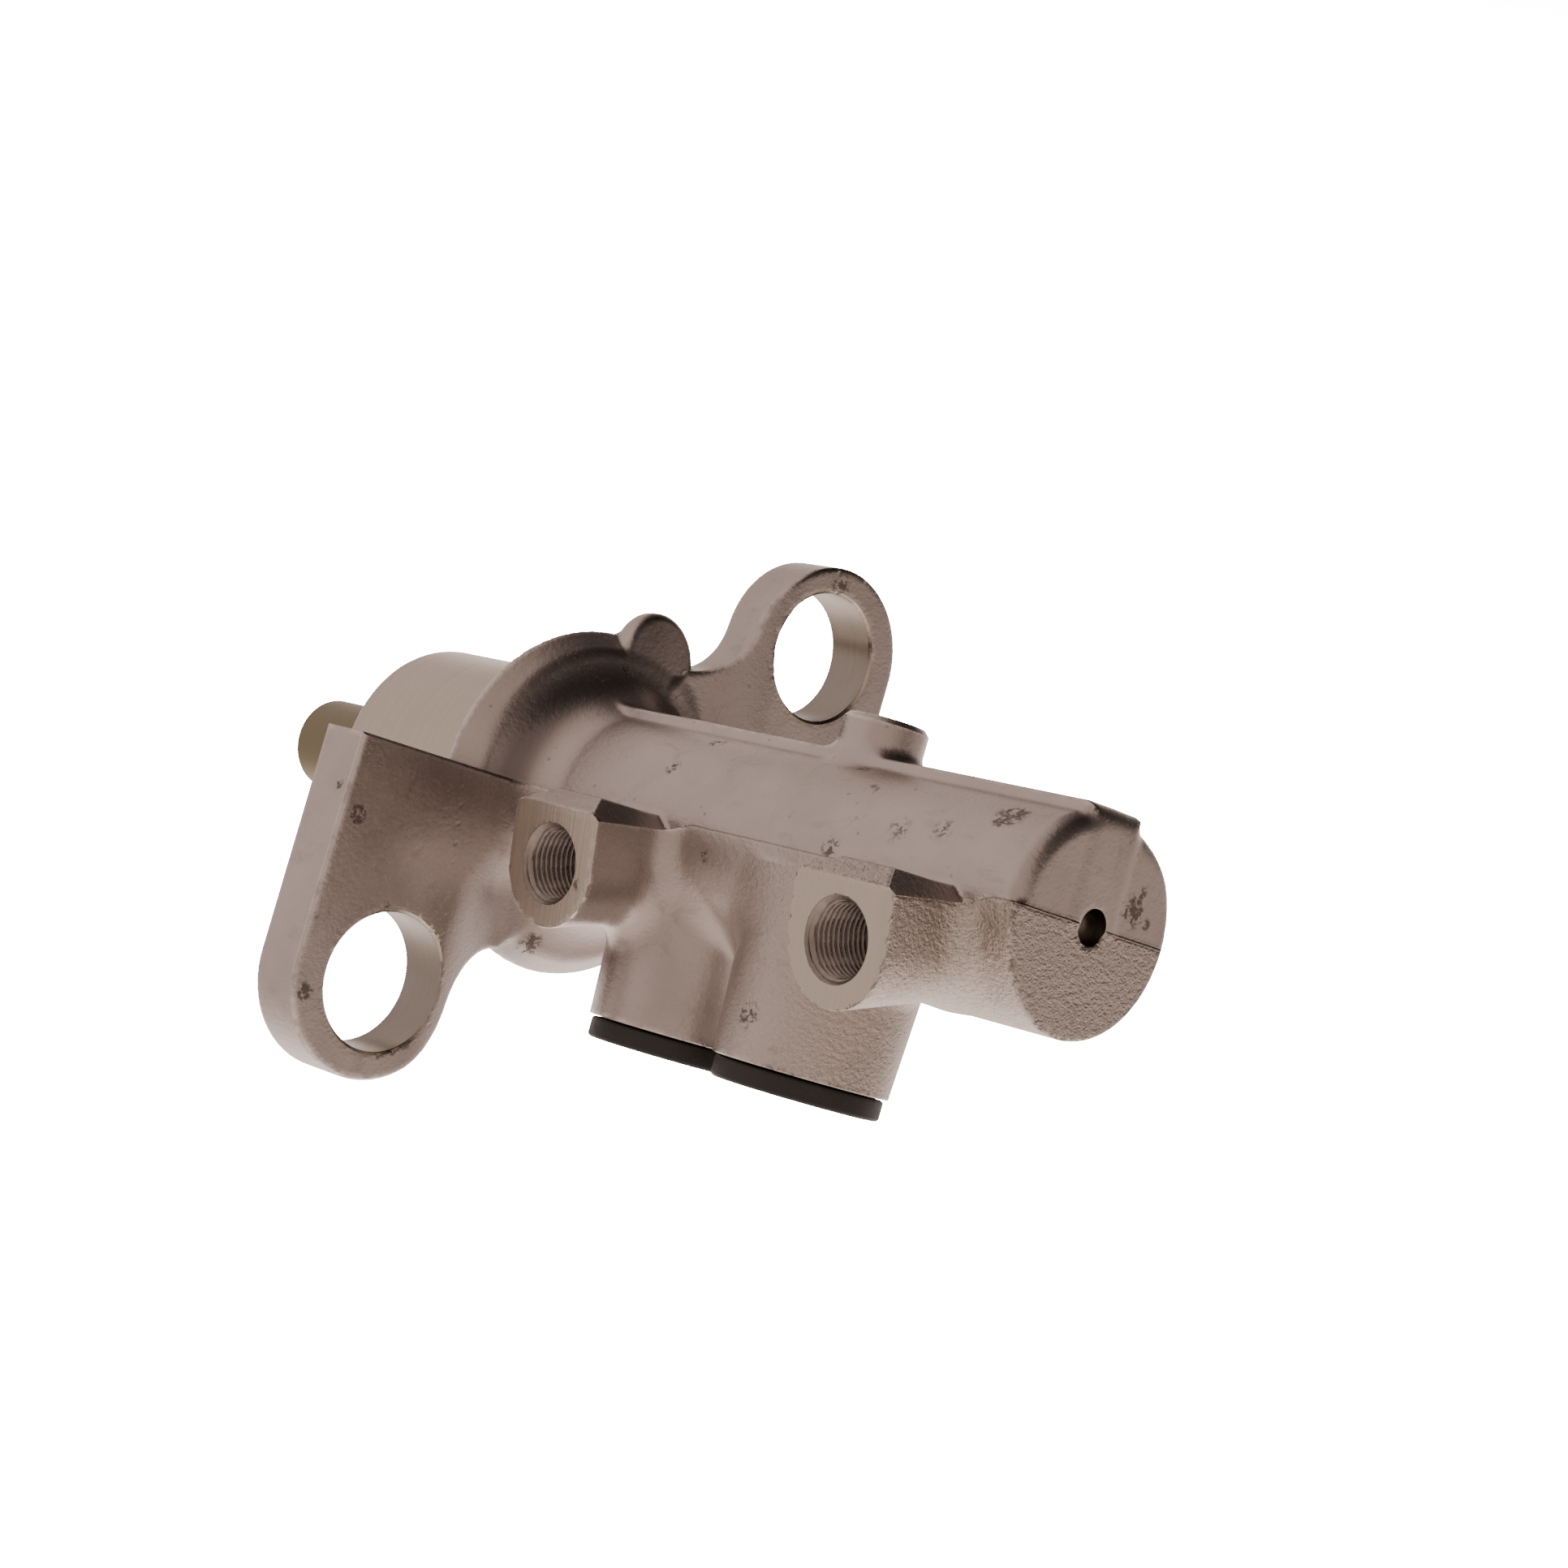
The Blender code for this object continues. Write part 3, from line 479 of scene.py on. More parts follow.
class Value:
    """A shader socket whose arithmetic adds Math nodes."""

    def __init__(self, finish, socket):
        self.finish = finish
        self.socket = socket

    def __add__(self, other):
        return self.finish.maths("ADD", self, other)

    __radd__ = __add__

    def __sub__(self, other):
        return self.finish.maths("SUBTRACT", self, other)

    def __rsub__(self, other):
        return self.finish.maths("SUBTRACT", other, self)

    def __mul__(self, other):
        return self.finish.maths("MULTIPLY", self, other)

    __rmul__ = __mul__


class Finish:
    """One material's nodes."""

    def __init__(self, name, holder=None):
        if holder is None:
            holder = bpy.data.materials.new(name)
            holder.use_nodes = True
        self.holder = holder
        self.tree = holder.node_tree
        self.shader = self.tree.nodes.get("Principled BSDF")

    def node(self, kind, settings=None, inputs=None, output=0):
        """Adds a node: its settings are set first, then the values or links of its sockets."""
        made = self.tree.nodes.new(kind)
        for key, value in (settings or {}).items():
            setattr(made, key, value)
        for key, value in (inputs or {}).items():
            self.feed(made.inputs[key], value)
        return Value(self, made.outputs[output])

    def feed(self, socket, value):
        if isinstance(value, Value):
            self.tree.links.new(value.socket, socket)
        else:
            socket.default_value = value

    def maths(self, operation, a, b=0.0):
        return self.node("ShaderNodeMath", {"operation": operation}, {0: a, 1: b})

    def place(self):
        return self.node("ShaderNodeTexCoord", output="Object")

    def split(self, vector):
        made = self.node("ShaderNodeSeparateXYZ", inputs={0: vector}).socket.node
        return [Value(self, out) for out in made.outputs]

    def stretch(self, vector, scale, turn=(0, 0, 0)):
        inputs = {"Vector": vector, "Scale": scale, "Rotation": turn}
        return self.node("ShaderNodeMapping", inputs=inputs)

    def noise(self, vector, size, detail=2.0, rough=0.5, twist=0.0):
        """Soft noise whose features are about size millimetres across, from 0 to 1."""
        inputs = {"Vector": vector, "Scale": 1000.0 / size, "Detail": detail, "Roughness": rough}
        inputs["Distortion"] = twist
        return self.node("ShaderNodeTexNoise", inputs=inputs, output="Fac")

    def cells(self, vector, size):
        """Distance from scattered points about size millimetres apart."""
        return self.node("ShaderNodeTexVoronoi", inputs={"Vector": vector, "Scale": 1000.0 / size})

    def span(self, value, low, high, start=0.0, end=1.0):
        settings = {"interpolation_type": "SMOOTHSTEP"}
        inputs = {"Value": value, 1: low, 2: high, 3: start, 4: end}
        return self.node("ShaderNodeMapRange", settings, inputs)

    def mix(self, factor, a, b):
        return self.node("ShaderNodeMix", {"data_type": "RGBA"}, {0: factor, 6: a, 7: b}, output=2)

    def stored(self, name):
        return self.node("ShaderNodeAttribute", {"attribute_name": name}, output="Fac")

    def bump(self, height, distance, strength=1.0):
        """Tilts the surface by a height that runs from 0 to 1 over the given millimetres."""
        inputs = {"Height": height, "Distance": distance * MM, "Strength": strength}
        self.feed(self.shader.inputs["Normal"], self.node("ShaderNodeBump", inputs=inputs))

    def set(self, **values):
        for key, value in values.items():
            self.feed(self.shader.inputs[key.replace("_", " ")], value)


def rgb(red, green, blue):
    return (red, green, blue, 1.0)


def cast_aluminium():
    """Die-cast aluminium: smooth and smudged above the parting line, sandy below it towards the closed end,
    with turned rings where it is machined."""
    f = Finish("cast_aluminium")
    place = f.place()
    x, y, z = f.split(place)
    machined = f.stored("machined")
    cast = 1 - machined
    grain = f.stored("grain") * cast
    above = f.span(f.stored("parting"), -0.15, 0.15, 1.0, 0.0)
    wander = (f.noise(place, 2.0) - 0.5) * 0.12
    off_line = f.maths("ABSOLUTE", f.stored("parting") + wander)
    line = f.span(off_line, 0.03, 0.2, 1.0, 0.0) * cast
    cloud = f.noise(place, 16.0, 3.0, 0.6)
    patch = f.noise(f.stretch(place, (0.6, 1.0, 1.0)), 5.0, 4.0, 0.65, 0.6)
    speck = f.span(f.cells(place, 2.6), 0.05, 0.17, 1.0, 0.0) * f.span(f.noise(place, 7.0), 0.5, 0.62)
    sand = f.noise(place, 0.55, 3.0, 0.7)
    pits = f.span(f.cells(place, 0.62), 0.12, 0.42, 0.0, 1.0)
    scratch = f.noise(f.stretch(place, (0.10, 1.0, 1.0), (0.5, 0.35, 0.6)), 0.35, 2.0, 0.5)
    scratched = f.span(scratch, 0.66, 0.74) * f.span(patch, 0.42, 0.6) * cast
    rings = f.noise(f.stretch(place, (1.0, 0.02, 0.02)), 0.55, 3.0, 0.6)
    stain = f.stored("stain")
    fleck = f.noise(place, 1.1, 4.0, 0.7, 0.4)
    stained = f.span(stain, 0.08, 0.5) * f.span(fleck + stain * 0.12, 0.52, 0.62)
    clean = f.mix(f.span(cloud, 0.3, 0.72), rgb(0.445, 0.40, 0.375), rgb(0.54, 0.49, 0.465))
    sandy = f.mix(sand, rgb(0.40, 0.35, 0.32), rgb(0.66, 0.60, 0.545))
    colour = f.mix(grain, clean, sandy)
    colour = f.mix(f.span(patch, 0.56, 0.74) * 0.28 * cast, colour, rgb(0.22, 0.185, 0.16))
    colour = f.mix(speck * 0.4 * above * cast, colour, rgb(0.10, 0.085, 0.075))
    colour = f.mix(scratched * 0.3, colour, rgb(0.72, 0.66, 0.60))
    # Edge wear with a painted highlight: convex edges of the casting are brightened towards pale metal. This
    # stands in for the bright highlights along them as well as for real wear.
    edge_wear_and_highlight = f.stored("edge_wear_and_highlight") * f.span(f.noise(place, 2.2, 3.0, 0.6), 0.32, 0.6)
    sandy_edge = f.span(grain, 0.3, 0.7)
    colour = f.mix(edge_wear_and_highlight * 0.5 * (1 - sandy_edge), colour, rgb(0.86, 0.80, 0.77))
    rubbed = f.stored("edge_wear_and_highlight") * sandy_edge * f.span(f.noise(place, 1.1, 4.0, 0.7), 0.5, 0.58)
    colour = f.mix(rubbed * 0.7, colour, rgb(0.12, 0.095, 0.085))
    colour = f.mix(line * 0.45, colour, rgb(0.17, 0.14, 0.12))
    bright = f.mix(rings, rgb(0.47, 0.42, 0.36), rgb(0.58, 0.525, 0.455))
    colour = f.mix(machined, colour, bright)
    # Painted shade: a near-black tone laid over the hub's cove, a weaker patch of that cove on the reservoir
    # side and the walls of the ear holes.
    painted_shade = f.stored("painted_shade") * (0.75 + cloud * 0.4)
    colour = f.mix(painted_shade * 0.8, colour, rgb(0.11, 0.095, 0.09))
    colour = f.mix(stained * 0.75, colour, rgb(0.07, 0.055, 0.045))
    rough = 0.34 + (cloud - 0.5) * 0.16 + grain * 0.12 + stained * cast * 0.15 - machined * 0.04 - edge_wear_and_highlight * 0.08
    lumps = f.noise(f.stretch(place, (0.8, 1.0, 1.25)), 0.85, 3.0, 0.6)
    height = (lumps * 3.8 + sand * 0.8 + pits * 0.7) * grain + patch * cast * 0.3
    height = height + f.noise(place, 1.3, 2.0) * cast * 0.2
    height = height + line * 0.8 - scratched * 0.25 + rings * machined * 0.35
    f.set(Base_Color=colour, Metallic=1.0, Roughness=rough)
    f.bump(height, 0.11)
    return f.holder


def cut_thread():
    f = Finish("cut_thread")
    place = f.place()
    tone = f.mix(f.noise(place, 1.2, 3.0), rgb(0.22, 0.19, 0.17), rgb(0.38, 0.34, 0.31))
    f.set(Base_Color=tone, Metallic=1.0, Roughness=0.3 + f.noise(place, 0.8) * 0.16)
    f.bump(f.noise(place, 0.25), 0.02)
    return f.holder


def black_rubber():
    f = Finish("black_rubber")
    place = f.place()
    dust = f.span(f.noise(place, 3.0, 4.0, 0.7), 0.5, 0.75)
    tone = f.mix(dust * 0.6, rgb(0.016, 0.0145, 0.013), rgb(0.045, 0.04, 0.035))
    f.set(Base_Color=tone, Metallic=0.0, Roughness=0.55 + dust * 0.2)
    f.bump(f.noise(place, 0.3, 2.0), 0.03)
    return f.holder


def hard_anodised():
    """Ground, hard-anodised aluminium: olive brown, with fine rings round it."""
    f = Finish("hard_anodised")
    place = f.place()
    rings = f.noise(f.stretch(place, (1.0, 0.015, 0.015)), 0.4, 3.0, 0.6)
    cloud = f.noise(place, 9.0, 3.0)
    tone = f.mix(rings * 0.6 + cloud * 0.4, rgb(0.17, 0.145, 0.085), rgb(0.25, 0.215, 0.135))
    f.set(Base_Color=tone, Metallic=0.75, Roughness=0.36 + cloud * 0.14)
    f.bump(rings, 0.015)
    return f.holder


def steel(name, low, high, roughness):
    f = Finish(name)
    place = f.place()
    brushed = f.noise(f.stretch(place, (1.0, 0.05, 0.05)), 0.5, 3.0)
    cloud = f.noise(place, 5.0, 3.0)
    tone = f.mix(brushed * 0.5 + cloud * 0.5, low, high)
    f.set(Base_Color=tone, Metallic=1.0, Roughness=roughness + cloud * 0.12)
    f.bump(brushed, 0.01)
    return f.holder


def nylon():
    f = Finish("nylon")
    place = f.place()
    cloud = f.noise(place, 6.0, 3.0)
    f.set(Base_Color=f.mix(cloud, rgb(0.60, 0.57, 0.50), rgb(0.72, 0.70, 0.63)), Metallic=0.0,
          Roughness=0.42 + cloud * 0.12)
    f.bump(f.noise(place, 0.6), 0.02)
    return f.holder


ALUMINIUM = cast_aluminium()
THREAD = cut_thread()
RUBBER = black_rubber()
ANODISED = hard_anodised()
PLATED = steel("plated_steel", rgb(0.50, 0.48, 0.44), rgb(0.66, 0.64, 0.60), 0.24)
SPRING_WIRE = steel("spring_steel", rgb(0.22, 0.22, 0.23), rgb(0.38, 0.38, 0.39), 0.28)
NYLON = nylon()


# ---- the casting ----

def stand_for(obj, body, node):
    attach(obj, body)
    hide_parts(node)
    return obj


SCUFFS = (
    # where each dark scuff is, how far it spreads and how dark it is
    ((117.4, -7.8, -3.9), 2.3, 1.0), ((117.4, -9.0, -7.2), 1.0, 0.8), ((117.4, -11.4, -2.8), 0.9, 0.8),
    ((107.2, 11.4, -12.3), 2.4, 1.0), ((106.5, 12.6, -11.0), 1.2, 1.0), ((37.5, 14.6, -8.3), 1.3, 0.9),
    ((39.9, 9.2, -14.1), 1.6, 0.6), ((9.8, 50.7, 12.7), 1.5, 1.1), ((7.2, 53.8, 8.8), 0.9, 0.9),
    ((9.8, 50.7, 41.4), 1.4, 1.0), ((9.8, -35.5, -50.0), 1.9, 1.0), ((4.2, 5.2, 24.9), 2.0, 1.0),
    ((69.1, 14.3, 25.7), 2.0, 0.8), ((78.5, 16.8, -1.6), 1.8, 0.7), ((72.1, 8.0, -14.8), 1.2, 0.7),
    ((79.0, 12.0, -11.8), 1.3, 0.6), ((4.8, 2.4, -23.6), 0.9, 1.0), ((52.0, 16.7, 4.5), 1.1, 0.9),
    ((98.0, 15.0, -8.0), 2.4, 0.45), ((90.0, 15.6, -6.5), 2.6, 0.45), ((41.0, 30.3, 14.0), 1.0, 0.7),
    ((8.8, 51.5, 24.0), 1.0, 0.9), ((9.0, 52.6, 30.0), 1.0, 0.7), ((9.8, 40.0, 25.0), 0.8, 0.6),
)


# Reach of the bend measure that finds the edges that are given wear and a painted highlight.
EDGE_BEND_REACH = 0.8


def surface_marks(points):
    """How machined, sandy and stained each point of the casting is, how worn its edges are with a painted
    highlight along them, how much painted shade darkens its hollows, and its height over the parting line.
    The worn and highlighted edges are where the distance field bends outwards most."""
    x, y, z = points.T
    r = np.hypot(y, z)
    out = y * OUT[1] + z * OUT[2]
    machined = np.abs(machining(x, y, z)) < 0.08
    machined |= np.abs(out - PORT_FACE) < 0.05
    machined |= (x < -0.02) & (r > SPIGOT_R - 1)
    machined |= (x < SPIGOT_X + 0.2) | (np.abs(x) < 0.03) | (np.abs(z - RESERVOIR_TOP) < 0.03)
    parting = z - parting_height(x, y)
    sandy = ramp(x, 56.0, 92.0) * 0.85 + 0.15
    sandy = sandy * ramp(parting, -0.3, 0.3)
    sandy = np.maximum(sandy, 0.12 * ramp(-parting, -0.3, 0.3))
    stain = np.zeros(len(x))
    for centre, size, strength in SCUFFS:
        away = np.linalg.norm(points - np.array(centre), axis=1)
        stain = np.maximum(stain, strength * np.exp(-((away / size) ** 2)))
    # How far the field bends outwards at each point. This sets the edge wear and the painted edge highlight
    # drawn with it.
    bent = -6 * housing_field(x, y, z)
    for axis in range(3):
        for away in (-EDGE_BEND_REACH, EDGE_BEND_REACH):
            moved = points.copy()
            moved[:, axis] += away
            bent += housing_field(*moved.T)
    edge_wear_and_highlight = ramp(bent / EDGE_BEND_REACH, 0.35, 1.1)
    # The inside of the end dimple is set fully dark here, through the same value as the scuffs.
    in_dimple = (x > END_X - 5.4) & (x < END_X - 0.08) & (r < DIMPLE_R + 0.4)
    stain = np.where(in_dimple, 4.0, stain)
    # Painted shade for the hollows: the cove behind the flange on the side away from the reservoir, strongest
    # towards the outlet ports, a weaker patch of it on the reservoir side, and the walls of the ear holes.
    behind = 1 - ramp(x, 7.0, 11.5)
    cove = ramp(r, 17.2, 19.5) * (1 - ramp(r, 21.5, 25.5)) * ramp(x, 2.5, 4.6) * behind
    cove = cove * ramp(-z, -1.0, 0.5) * (0.1 + 0.9 * ramp(y, 1.0, 18.0))
    under_port = ramp(r, 17.2, 21.0) * ramp(x, 0.5, 2.5) * behind
    under_port = under_port * ramp(z, 8.0, 14.0) * ramp(y, 0.0, 8.0) * (1 - ramp(y, 28.0, 34.0))
    wall = np.hypot(np.abs(y) - EAR_HOLE[0], np.abs(z) - EAR_HOLE[1]) - EAR_HOLE_R
    painted_shade = np.maximum(cove, np.maximum(0.4 * under_port, 0.75 * (np.abs(wall) < 0.1)))
    return machined.astype(float), parting, sandy, stain, edge_wear_and_highlight, painted_shade


def housing():
    fine = 0.6
    axes = (
        steps(-40.3, (-34.9, fine), (-1.0, 2.2), (11.0, fine * 0.8), (20.0, fine), (82.0, fine * 1.1),
              (88.0, 1.2), (109.0, fine), (118.3, fine * 0.85)),
        steps(-54.5, (-17.5, fine * 1.15), (16.0, fine), (54.5, fine * 0.95)),
        steps(-54.0, (-25.0, fine * 1.15), (20.0, fine), (54.0, fine * 1.05)),
    )
    vertices, quads = contour(housing_field, axes)
    obj = piece("cast_housing", vertices, quads.tolist(), ALUMINIUM, 38)
    machined, parting, sandy, stain, edge_wear_and_highlight, painted_shade = surface_marks(vertices)
    give(obj, "machined", machined)
    give(obj, "parting", parting)
    give(obj, "grain", sandy)
    give(obj, "stain", stain)
    # Edge wear and the painted edge highlight are stored under this name.
    give(obj, "edge_wear_and_highlight", edge_wear_and_highlight)
    # The painted shade is stored under this name.
    give(obj, "painted_shade", painted_shade)
    return stand_for(obj, "housing", "housing")


housing()
for label, port in zip(("primary_port_thread", "secondary_port_thread"), PORT_X):
    lining = thread(label, port, THREAD)
    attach(lining, "housing")


# ---- grommets, pistons, seals and springs ----

def lowest(node):
    return np.array(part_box(node)[0]) / MM


def highest(node):
    return np.array(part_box(node)[1]) / MM


def grommet(name, node, centre):
    low = RESERVOIR_TOP + 0.3
    top = highest(node)[2]
    floor = lowest(node)[2]
    profile = [
        (top, 5.8), (top, 13.0), (top - 0.4, 13.4), (low + 0.3, 13.4), (low, 13.1), (low, 9.0),
        (low - 3.0, 9.0), (low - 4.0, 8.2), (low - 5.0, 9.0), (floor, 8.2), (floor, 5.6), (top - 1.2, 5.0),
    ]
    obj = turned(name, profile, RUBBER, base=(centre, 0, 0), axis=(0, 0, 1), rounding=0.5)
    return stand_for(obj, "housing", node)


for node, centre in zip(("primary_grommet", "secondary_grommet"), RESERVOIR_X):
    grommet(node + "_rubber", node, centre)

LAND = BORE_R - 0.1
NOSE = 8.6


def replace_turned(node, body, profile, material, rounding=0.2):
    obj = turned(node + "_turned", profile, material, rounding=rounding)
    return stand_for(obj, body, node)


def washer_profile(node, hole):
    low, high = lowest(node)[0], highest(node)[0]
    return [(high, hole), (high, highest(node)[2]), (low, highest(node)[2]), (low, hole)]


def cup_profile(node, faces_front=True):
    low, high = lowest(node)[0], highest(node)[0]
    back, front = (low, high) if faces_front else (high, low)
    width = front - back
    seat = NOSE + 0.15
    return [
        (front, LAND), (back + width * 0.5, LAND - 0.12), (back, LAND - 0.25), (back, seat), (front, seat),
        (front, seat + 0.5), (front - width * 0.45, (seat + LAND) / 2), (front, LAND - 0.6),
    ]


def piston_stack():
    stem_end = lowest("primary_piston")[0]
    front = highest("primary_piston")[0]
    washer = lowest("primary_cup_washer")[0]
    seal = lowest("primary_rear_seal")[0]
    seal_end = highest("primary_rear_seal")[0]
    land = washer - 0.3
    socket = stem_end + 34.0
    profile = [
        (0, 0), (0, 1.8), (8, 1.8), (8, 7.2), (front, 7.2), (front, NOSE), (land, NOSE), (land, LAND),
        (land - 1.4, LAND), (land - 1.4, 9.4), (seal_end + 3, 9.4), (seal_end + 3, LAND),
        (seal_end + 0.3, LAND), (seal_end + 0.3, NOSE), (seal - 0.3, NOSE), (seal - 0.3, LAND),
        (MOUTH_X, LAND), (MOUTH_X, 8.2), (stem_end + 0.7, 8.2), (stem_end, 7.5), (stem_end, 5.4),
        (stem_end + 0.3, 5.2), (socket, 5.2), (socket + 2.2, 3.0), (socket + 3, 0),
    ]
    replace_turned("primary_piston", "primary", profile, ANODISED, 0.25)
    replace_turned("primary_rear_seal", "primary", cup_profile("primary_rear_seal"), RUBBER)
    replace_turned("primary_cup", "primary", cup_profile("primary_cup"), RUBBER)
    for node in ("primary_cup_washer", "primary_cup_retainer"):
        replace_turned(node, "primary", washer_profile(node, NOSE + 0.12), PLATED)
    head = highest("spring_limit_screw")[0]
    screw = [(head, 0), (head, 3.1), (head - 2.4, 3.1), (head - 2.4, 1.7), (0.3, 1.7), (0.3, 0)]
    replace_turned("spring_limit_screw", "primary", screw, PLATED)


def floating_stack():
    rear = lowest("secondary_piston")[0]
    front = highest("secondary_piston")[0]
    land = lowest("secondary_cup_washer")[0] - 0.3
    first = lowest("separator_cup_rear")[0], highest("separator_cup_rear")[0]
    second = lowest("separator_cup_front")[0], highest("separator_cup_front")[0]
    floor = lowest("secondary_spring")[0] - 0.3
    profile = [
        (floor, 0), (floor, 7.2), (front, 7.2), (front, NOSE), (land, NOSE), (land, LAND), (land - 1, LAND),
        (land - 1, 9.4), (second[1] + 1.1, 9.4), (second[1] + 1.1, LAND), (second[1] + 0.3, LAND),
        (second[1] + 0.3, NOSE), (second[0] - 0.3, NOSE), (second[0] - 0.3, LAND), (first[1] + 0.3, LAND),
        (first[1] + 0.3, NOSE), (first[0] - 0.3, NOSE), (first[0] - 0.3, LAND), (rear, LAND), (rear, 3.5),
        (floor - 2.2, 3.5), (floor - 2.2, 0),
    ]
    replace_turned("secondary_piston", "secondary", profile, ANODISED, 0.15)
    cups = (("separator_cup_rear", False), ("separator_cup_front", True), ("secondary_cup", True))
    for node, faces_front in cups:
        replace_turned(node, "secondary", cup_profile(node, faces_front), RUBBER)
    for node in ("secondary_cup_washer", "secondary_cup_retainer"):
        replace_turned(node, "secondary", washer_profile(node, NOSE + 0.12), PLATED)
    lip, flange = lowest("spring_sleeve")[0], highest("spring_sleeve")[0]
    sleeve = [
        (flange, 3.5), (flange, 6.9), (flange - 0.9, 6.9), (flange - 0.9, 4.4), (lip, 4.4), (lip, 1.9),
        (lip + 1, 1.9), (lip + 1, 3.5),
    ]
    replace_turned("spring_sleeve", "secondary", sleeve, PLATED)


def mouth_stack():
    seal = lowest("stem_seal")[0], highest("stem_seal")[0]
    fit, outer = 8.35, MOUTH_R - 0.3
    profile = [
        (seal[1], fit), (seal[1], fit + 1), (seal[0] + 1.8, fit + 2.6), (seal[1], outer - 1.4),
        (seal[1], outer), (seal[0], outer), (seal[0], fit + 0.6), (seal[0] + 1.5, fit),
    ]
    replace_turned("stem_seal", "housing", profile, RUBBER)
    low, high = lowest("guide_ring")[0], highest("guide_ring")[0]
    groove = high - 4.6, high - 2.2
    profile = [
        (high, fit), (high, outer), (groove[1], outer), (groove[1], outer - 1.7), (groove[0], outer - 1.7),
        (groove[0], outer), (low, outer), (low, fit + 1), (low + 1, fit),
    ]
    replace_turned("guide_ring", "housing", profile, NYLON, 0.3)
    replace_turned("stop_washer", "housing", washer_profile("stop_washer", fit + 0.3), PLATED)
    middle, centre = sum(groove) / 2, (MOUTH_R + outer - 1.7) / 2
    bead = [tuple(p) for p in arc((middle, centre), 0.9, 0, 345, 24)]
    replace_turned("guide_o_ring", "housing", bead, RUBBER, 0)
    seat = lowest("secondary_spring_seat")[0], highest("secondary_spring_seat")[0]
    profile = [
        (seat[1], 2.6), (seat[1], 9.6), (seat[1] - 1, 9.6), (seat[1] - 1, 4.5), (seat[0] + 0.6, 4.3),
        (seat[0], 3.6), (seat[0], 2.6),
    ]
    replace_turned("secondary_spring_seat", "housing", profile, PLATED)


def circlip():
    """An internal retaining ring: the strip between two radii swept round to a gap, with a lug at each end.
    Its inner edge swells inward by a smooth bump beside the gap."""
    low, high = lowest("circlip")[0], highest("circlip")[0]
    count = 160
    t = np.linspace(0.10, math.tau - 0.10, count)
    near = np.exp(-((np.minimum(t, math.tau - t) - 0.17) / 0.10) ** 2)
    inner = 13.0 - 0.5 * ramp(np.minimum(t, math.tau - t), 2.6, 3.1) - 1.4 * near
    outer = np.full(count, 16.3)
    radii = np.stack((inner, outer, outer, inner), 1)
    stations = np.array((low, low, high, high))
    across, up = radii * np.sin(t)[:, None], radii * np.cos(t)[:, None]
    vertices = np.stack(np.broadcast_arrays(stations, across, up), -1)
    i, j = np.meshgrid(np.arange(count - 1), np.arange(4), indexing="ij")
    after = (j + 1) % 4
    faces = np.stack((i * 4 + j, i * 4 + after, (i + 1) * 4 + after, (i + 1) * 4 + j), -1).reshape(-1, 4)
    faces = faces.tolist() + [[3, 2, 1, 0], [(count - 1) * 4 + k for k in range(4)]]
    obj = piece("circlip_ring", vertices.reshape(-1, 3), faces, PLATED, 30)
    return stand_for(obj, "housing", "circlip")


def springs():
    """Both return springs, each a coil with closed ends reaching between the two ends of the part it stands
    for.
    """
    low, high = lowest("primary_spring")[0], highest("primary_spring")[0]
    outer = coil("primary_spring_wire", low, high, 8, 5.9, 0.85, SPRING_WIRE)
    stand_for(outer, "secondary", "primary_spring")
    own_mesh(outer)
    low, high = lowest("secondary_spring")[0], highest("secondary_spring")[0]
    inner = coil("secondary_spring_wire", low, high, 7, 5.9, 0.85, SPRING_WIRE)
    stand_for(inner, "housing", "secondary_spring")
    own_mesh(inner)


piston_stack()
floating_stack()
mouth_stack()
circlip()
springs()


# ---- floor, light and camera ----

def floor():
    """A pale round floor well below the part, which fades out towards its edge."""
    count = 96
    t = np.arange(count) * math.tau / count
    ring = np.stack((750 * np.cos(t), 750 * np.sin(t), np.full(count, -350.0)), 1)
    f = Finish("pale_floor")
    x, y, z = f.split(f.place())
    away = f.maths("SQRT", x * x + y * y)
    f.set(Base_Color=rgb(0.72, 0.85, 0.92), Roughness=0.9, Alpha=f.span(away, 0.30, 0.70, 1.0, 0.0))
    obj = piece("floor", ring, [list(range(count))], f.holder)
    obj.visible_glossy = False


LIGHTS = (
    # direction it comes from, the cosines where it starts and is full, strength and tint
    ((-0.63, -0.73, 0.27), 0.45, 0.93, 1.25, (1.0, 0.90, 0.86)),
    ((0.05, -0.15, 1.0), 0.15, 0.80, 0.42, (1.0, 0.84, 0.77)),
    ((-0.75, 0.62, -0.35), 0.45, 0.90, 0.22, (1.0, 0.93, 0.94)),
)
AMBIENT = (0.655, 0.52, 0.46)
SCREENS = (
    # direction of each dark screen, the cosines where it starts and is full, and how much it hides
    ((0.62, -0.28, -0.73), 0.68, 0.86, 0.92),
    ((0.0, -0.55, -0.835), 0.70, 0.92, 0.84),
)


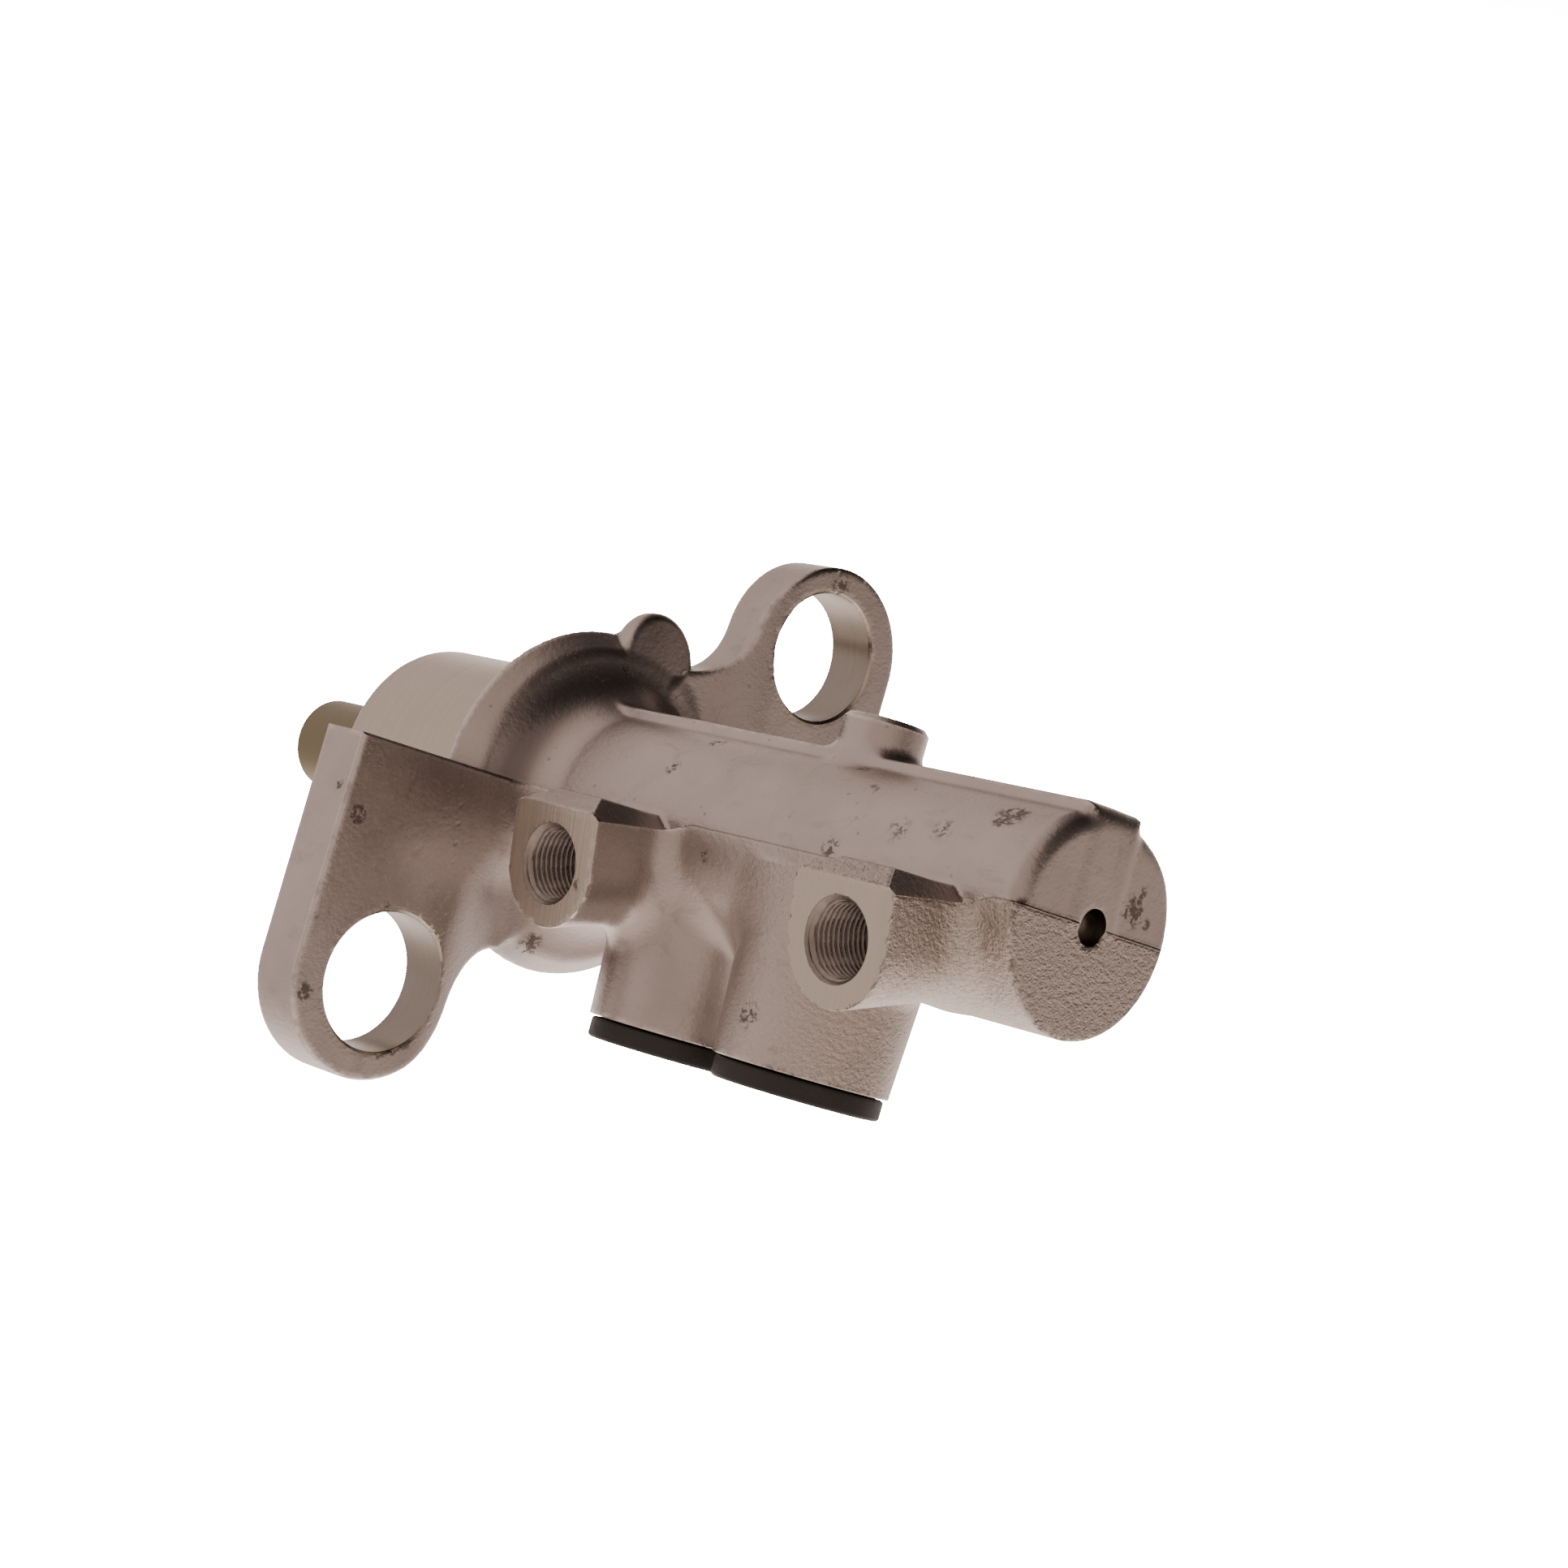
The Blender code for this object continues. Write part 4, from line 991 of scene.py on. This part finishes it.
def studio():
    """Soft light from all round, stronger from the back and from the reservoir side, with two wide dark
    screens, and a plain white backdrop."""
    world = bpy.data.worlds.new("studio")
    bpy.context.scene.world = world
    world.use_nodes = True
    f = Finish("studio", world)
    backing = f.tree.nodes["Background"]
    towards = f.node("ShaderNodeTexCoord", output="Generated")

    def facing(direction, low, high):
        unit = tuple(Vector(direction).normalized())
        dot = f.node("ShaderNodeVectorMath", {"operation": "DOT_PRODUCT"}, {0: towards, 1: unit}, "Value")
        return f.span(dot, low, high)

    colour = rgb(*AMBIENT)
    for direction, low, high, depth in SCREENS:
        colour = f.mix(facing(direction, low, high) * depth, colour, rgb(0, 0, 0))
    for direction, low, high, strength, tint in LIGHTS:
        amount = facing(direction, low, high) * strength
        settings = {"data_type": "RGBA", "blend_type": "ADD", "clamp_factor": False}
        colour = f.node("ShaderNodeMix", settings, {0: amount, 6: colour, 7: rgb(*tint)}, output=2)
    f.feed(backing.inputs["Color"], colour)
    white = f.node("ShaderNodeBackground", inputs={"Color": rgb(1, 1, 1), "Strength": 26.0})
    seen = f.node("ShaderNodeLightPath", output="Is Camera Ray")
    chosen = f.node("ShaderNodeMixShader", inputs={0: seen, 1: Value(f, backing.outputs[0]), 2: white})
    f.feed(f.tree.nodes["World Output"].inputs["Surface"], chosen)


def softbox(name, position, target, size, power):
    data = bpy.data.lights.new(name, "AREA")
    data.shape = "RECTANGLE"
    data.size, data.size_y = size
    data.energy = power
    light = bpy.data.objects.new(name, data)
    light.location = position
    light.rotation_euler = (Vector(target) - Vector(position)).to_track_quat("-Z", "Y").to_euler()
    light.visible_camera = False
    bpy.context.scene.collection.objects.link(light)


CAMERA_PLACE = (0.4258, 0.3565, 0.0204)
CAMERA_BACK = (0.7265, 0.6846, 0.0597)
CAMERA_UP = (-0.1472, 0.2399, -0.9596)
CAMERA_LENS = 75.3


def camera():
    """A still camera off the closed end's port side, turned over so that the reservoir side is down."""
    data = bpy.data.cameras.new("camera")
    data.lens = CAMERA_LENS
    data.sensor_width = 36.0
    data.clip_start, data.clip_end = 0.01, 10.0
    cam = bpy.data.objects.new("camera", data)
    back = Vector(CAMERA_BACK).normalized()
    right = Vector(CAMERA_UP).cross(back).normalized()
    up = back.cross(right)
    turn = Matrix((right, up, back)).transposed().to_4x4()
    cam.matrix_world = Matrix.Translation(CAMERA_PLACE) @ turn
    bpy.context.scene.collection.objects.link(cam)
    bpy.context.scene.camera = cam


floor()
studio()
softbox("overhead", (0.10, -0.15, 0.60), (0.04, 0, 0), (0.5, 0.4), 0.35)
camera()
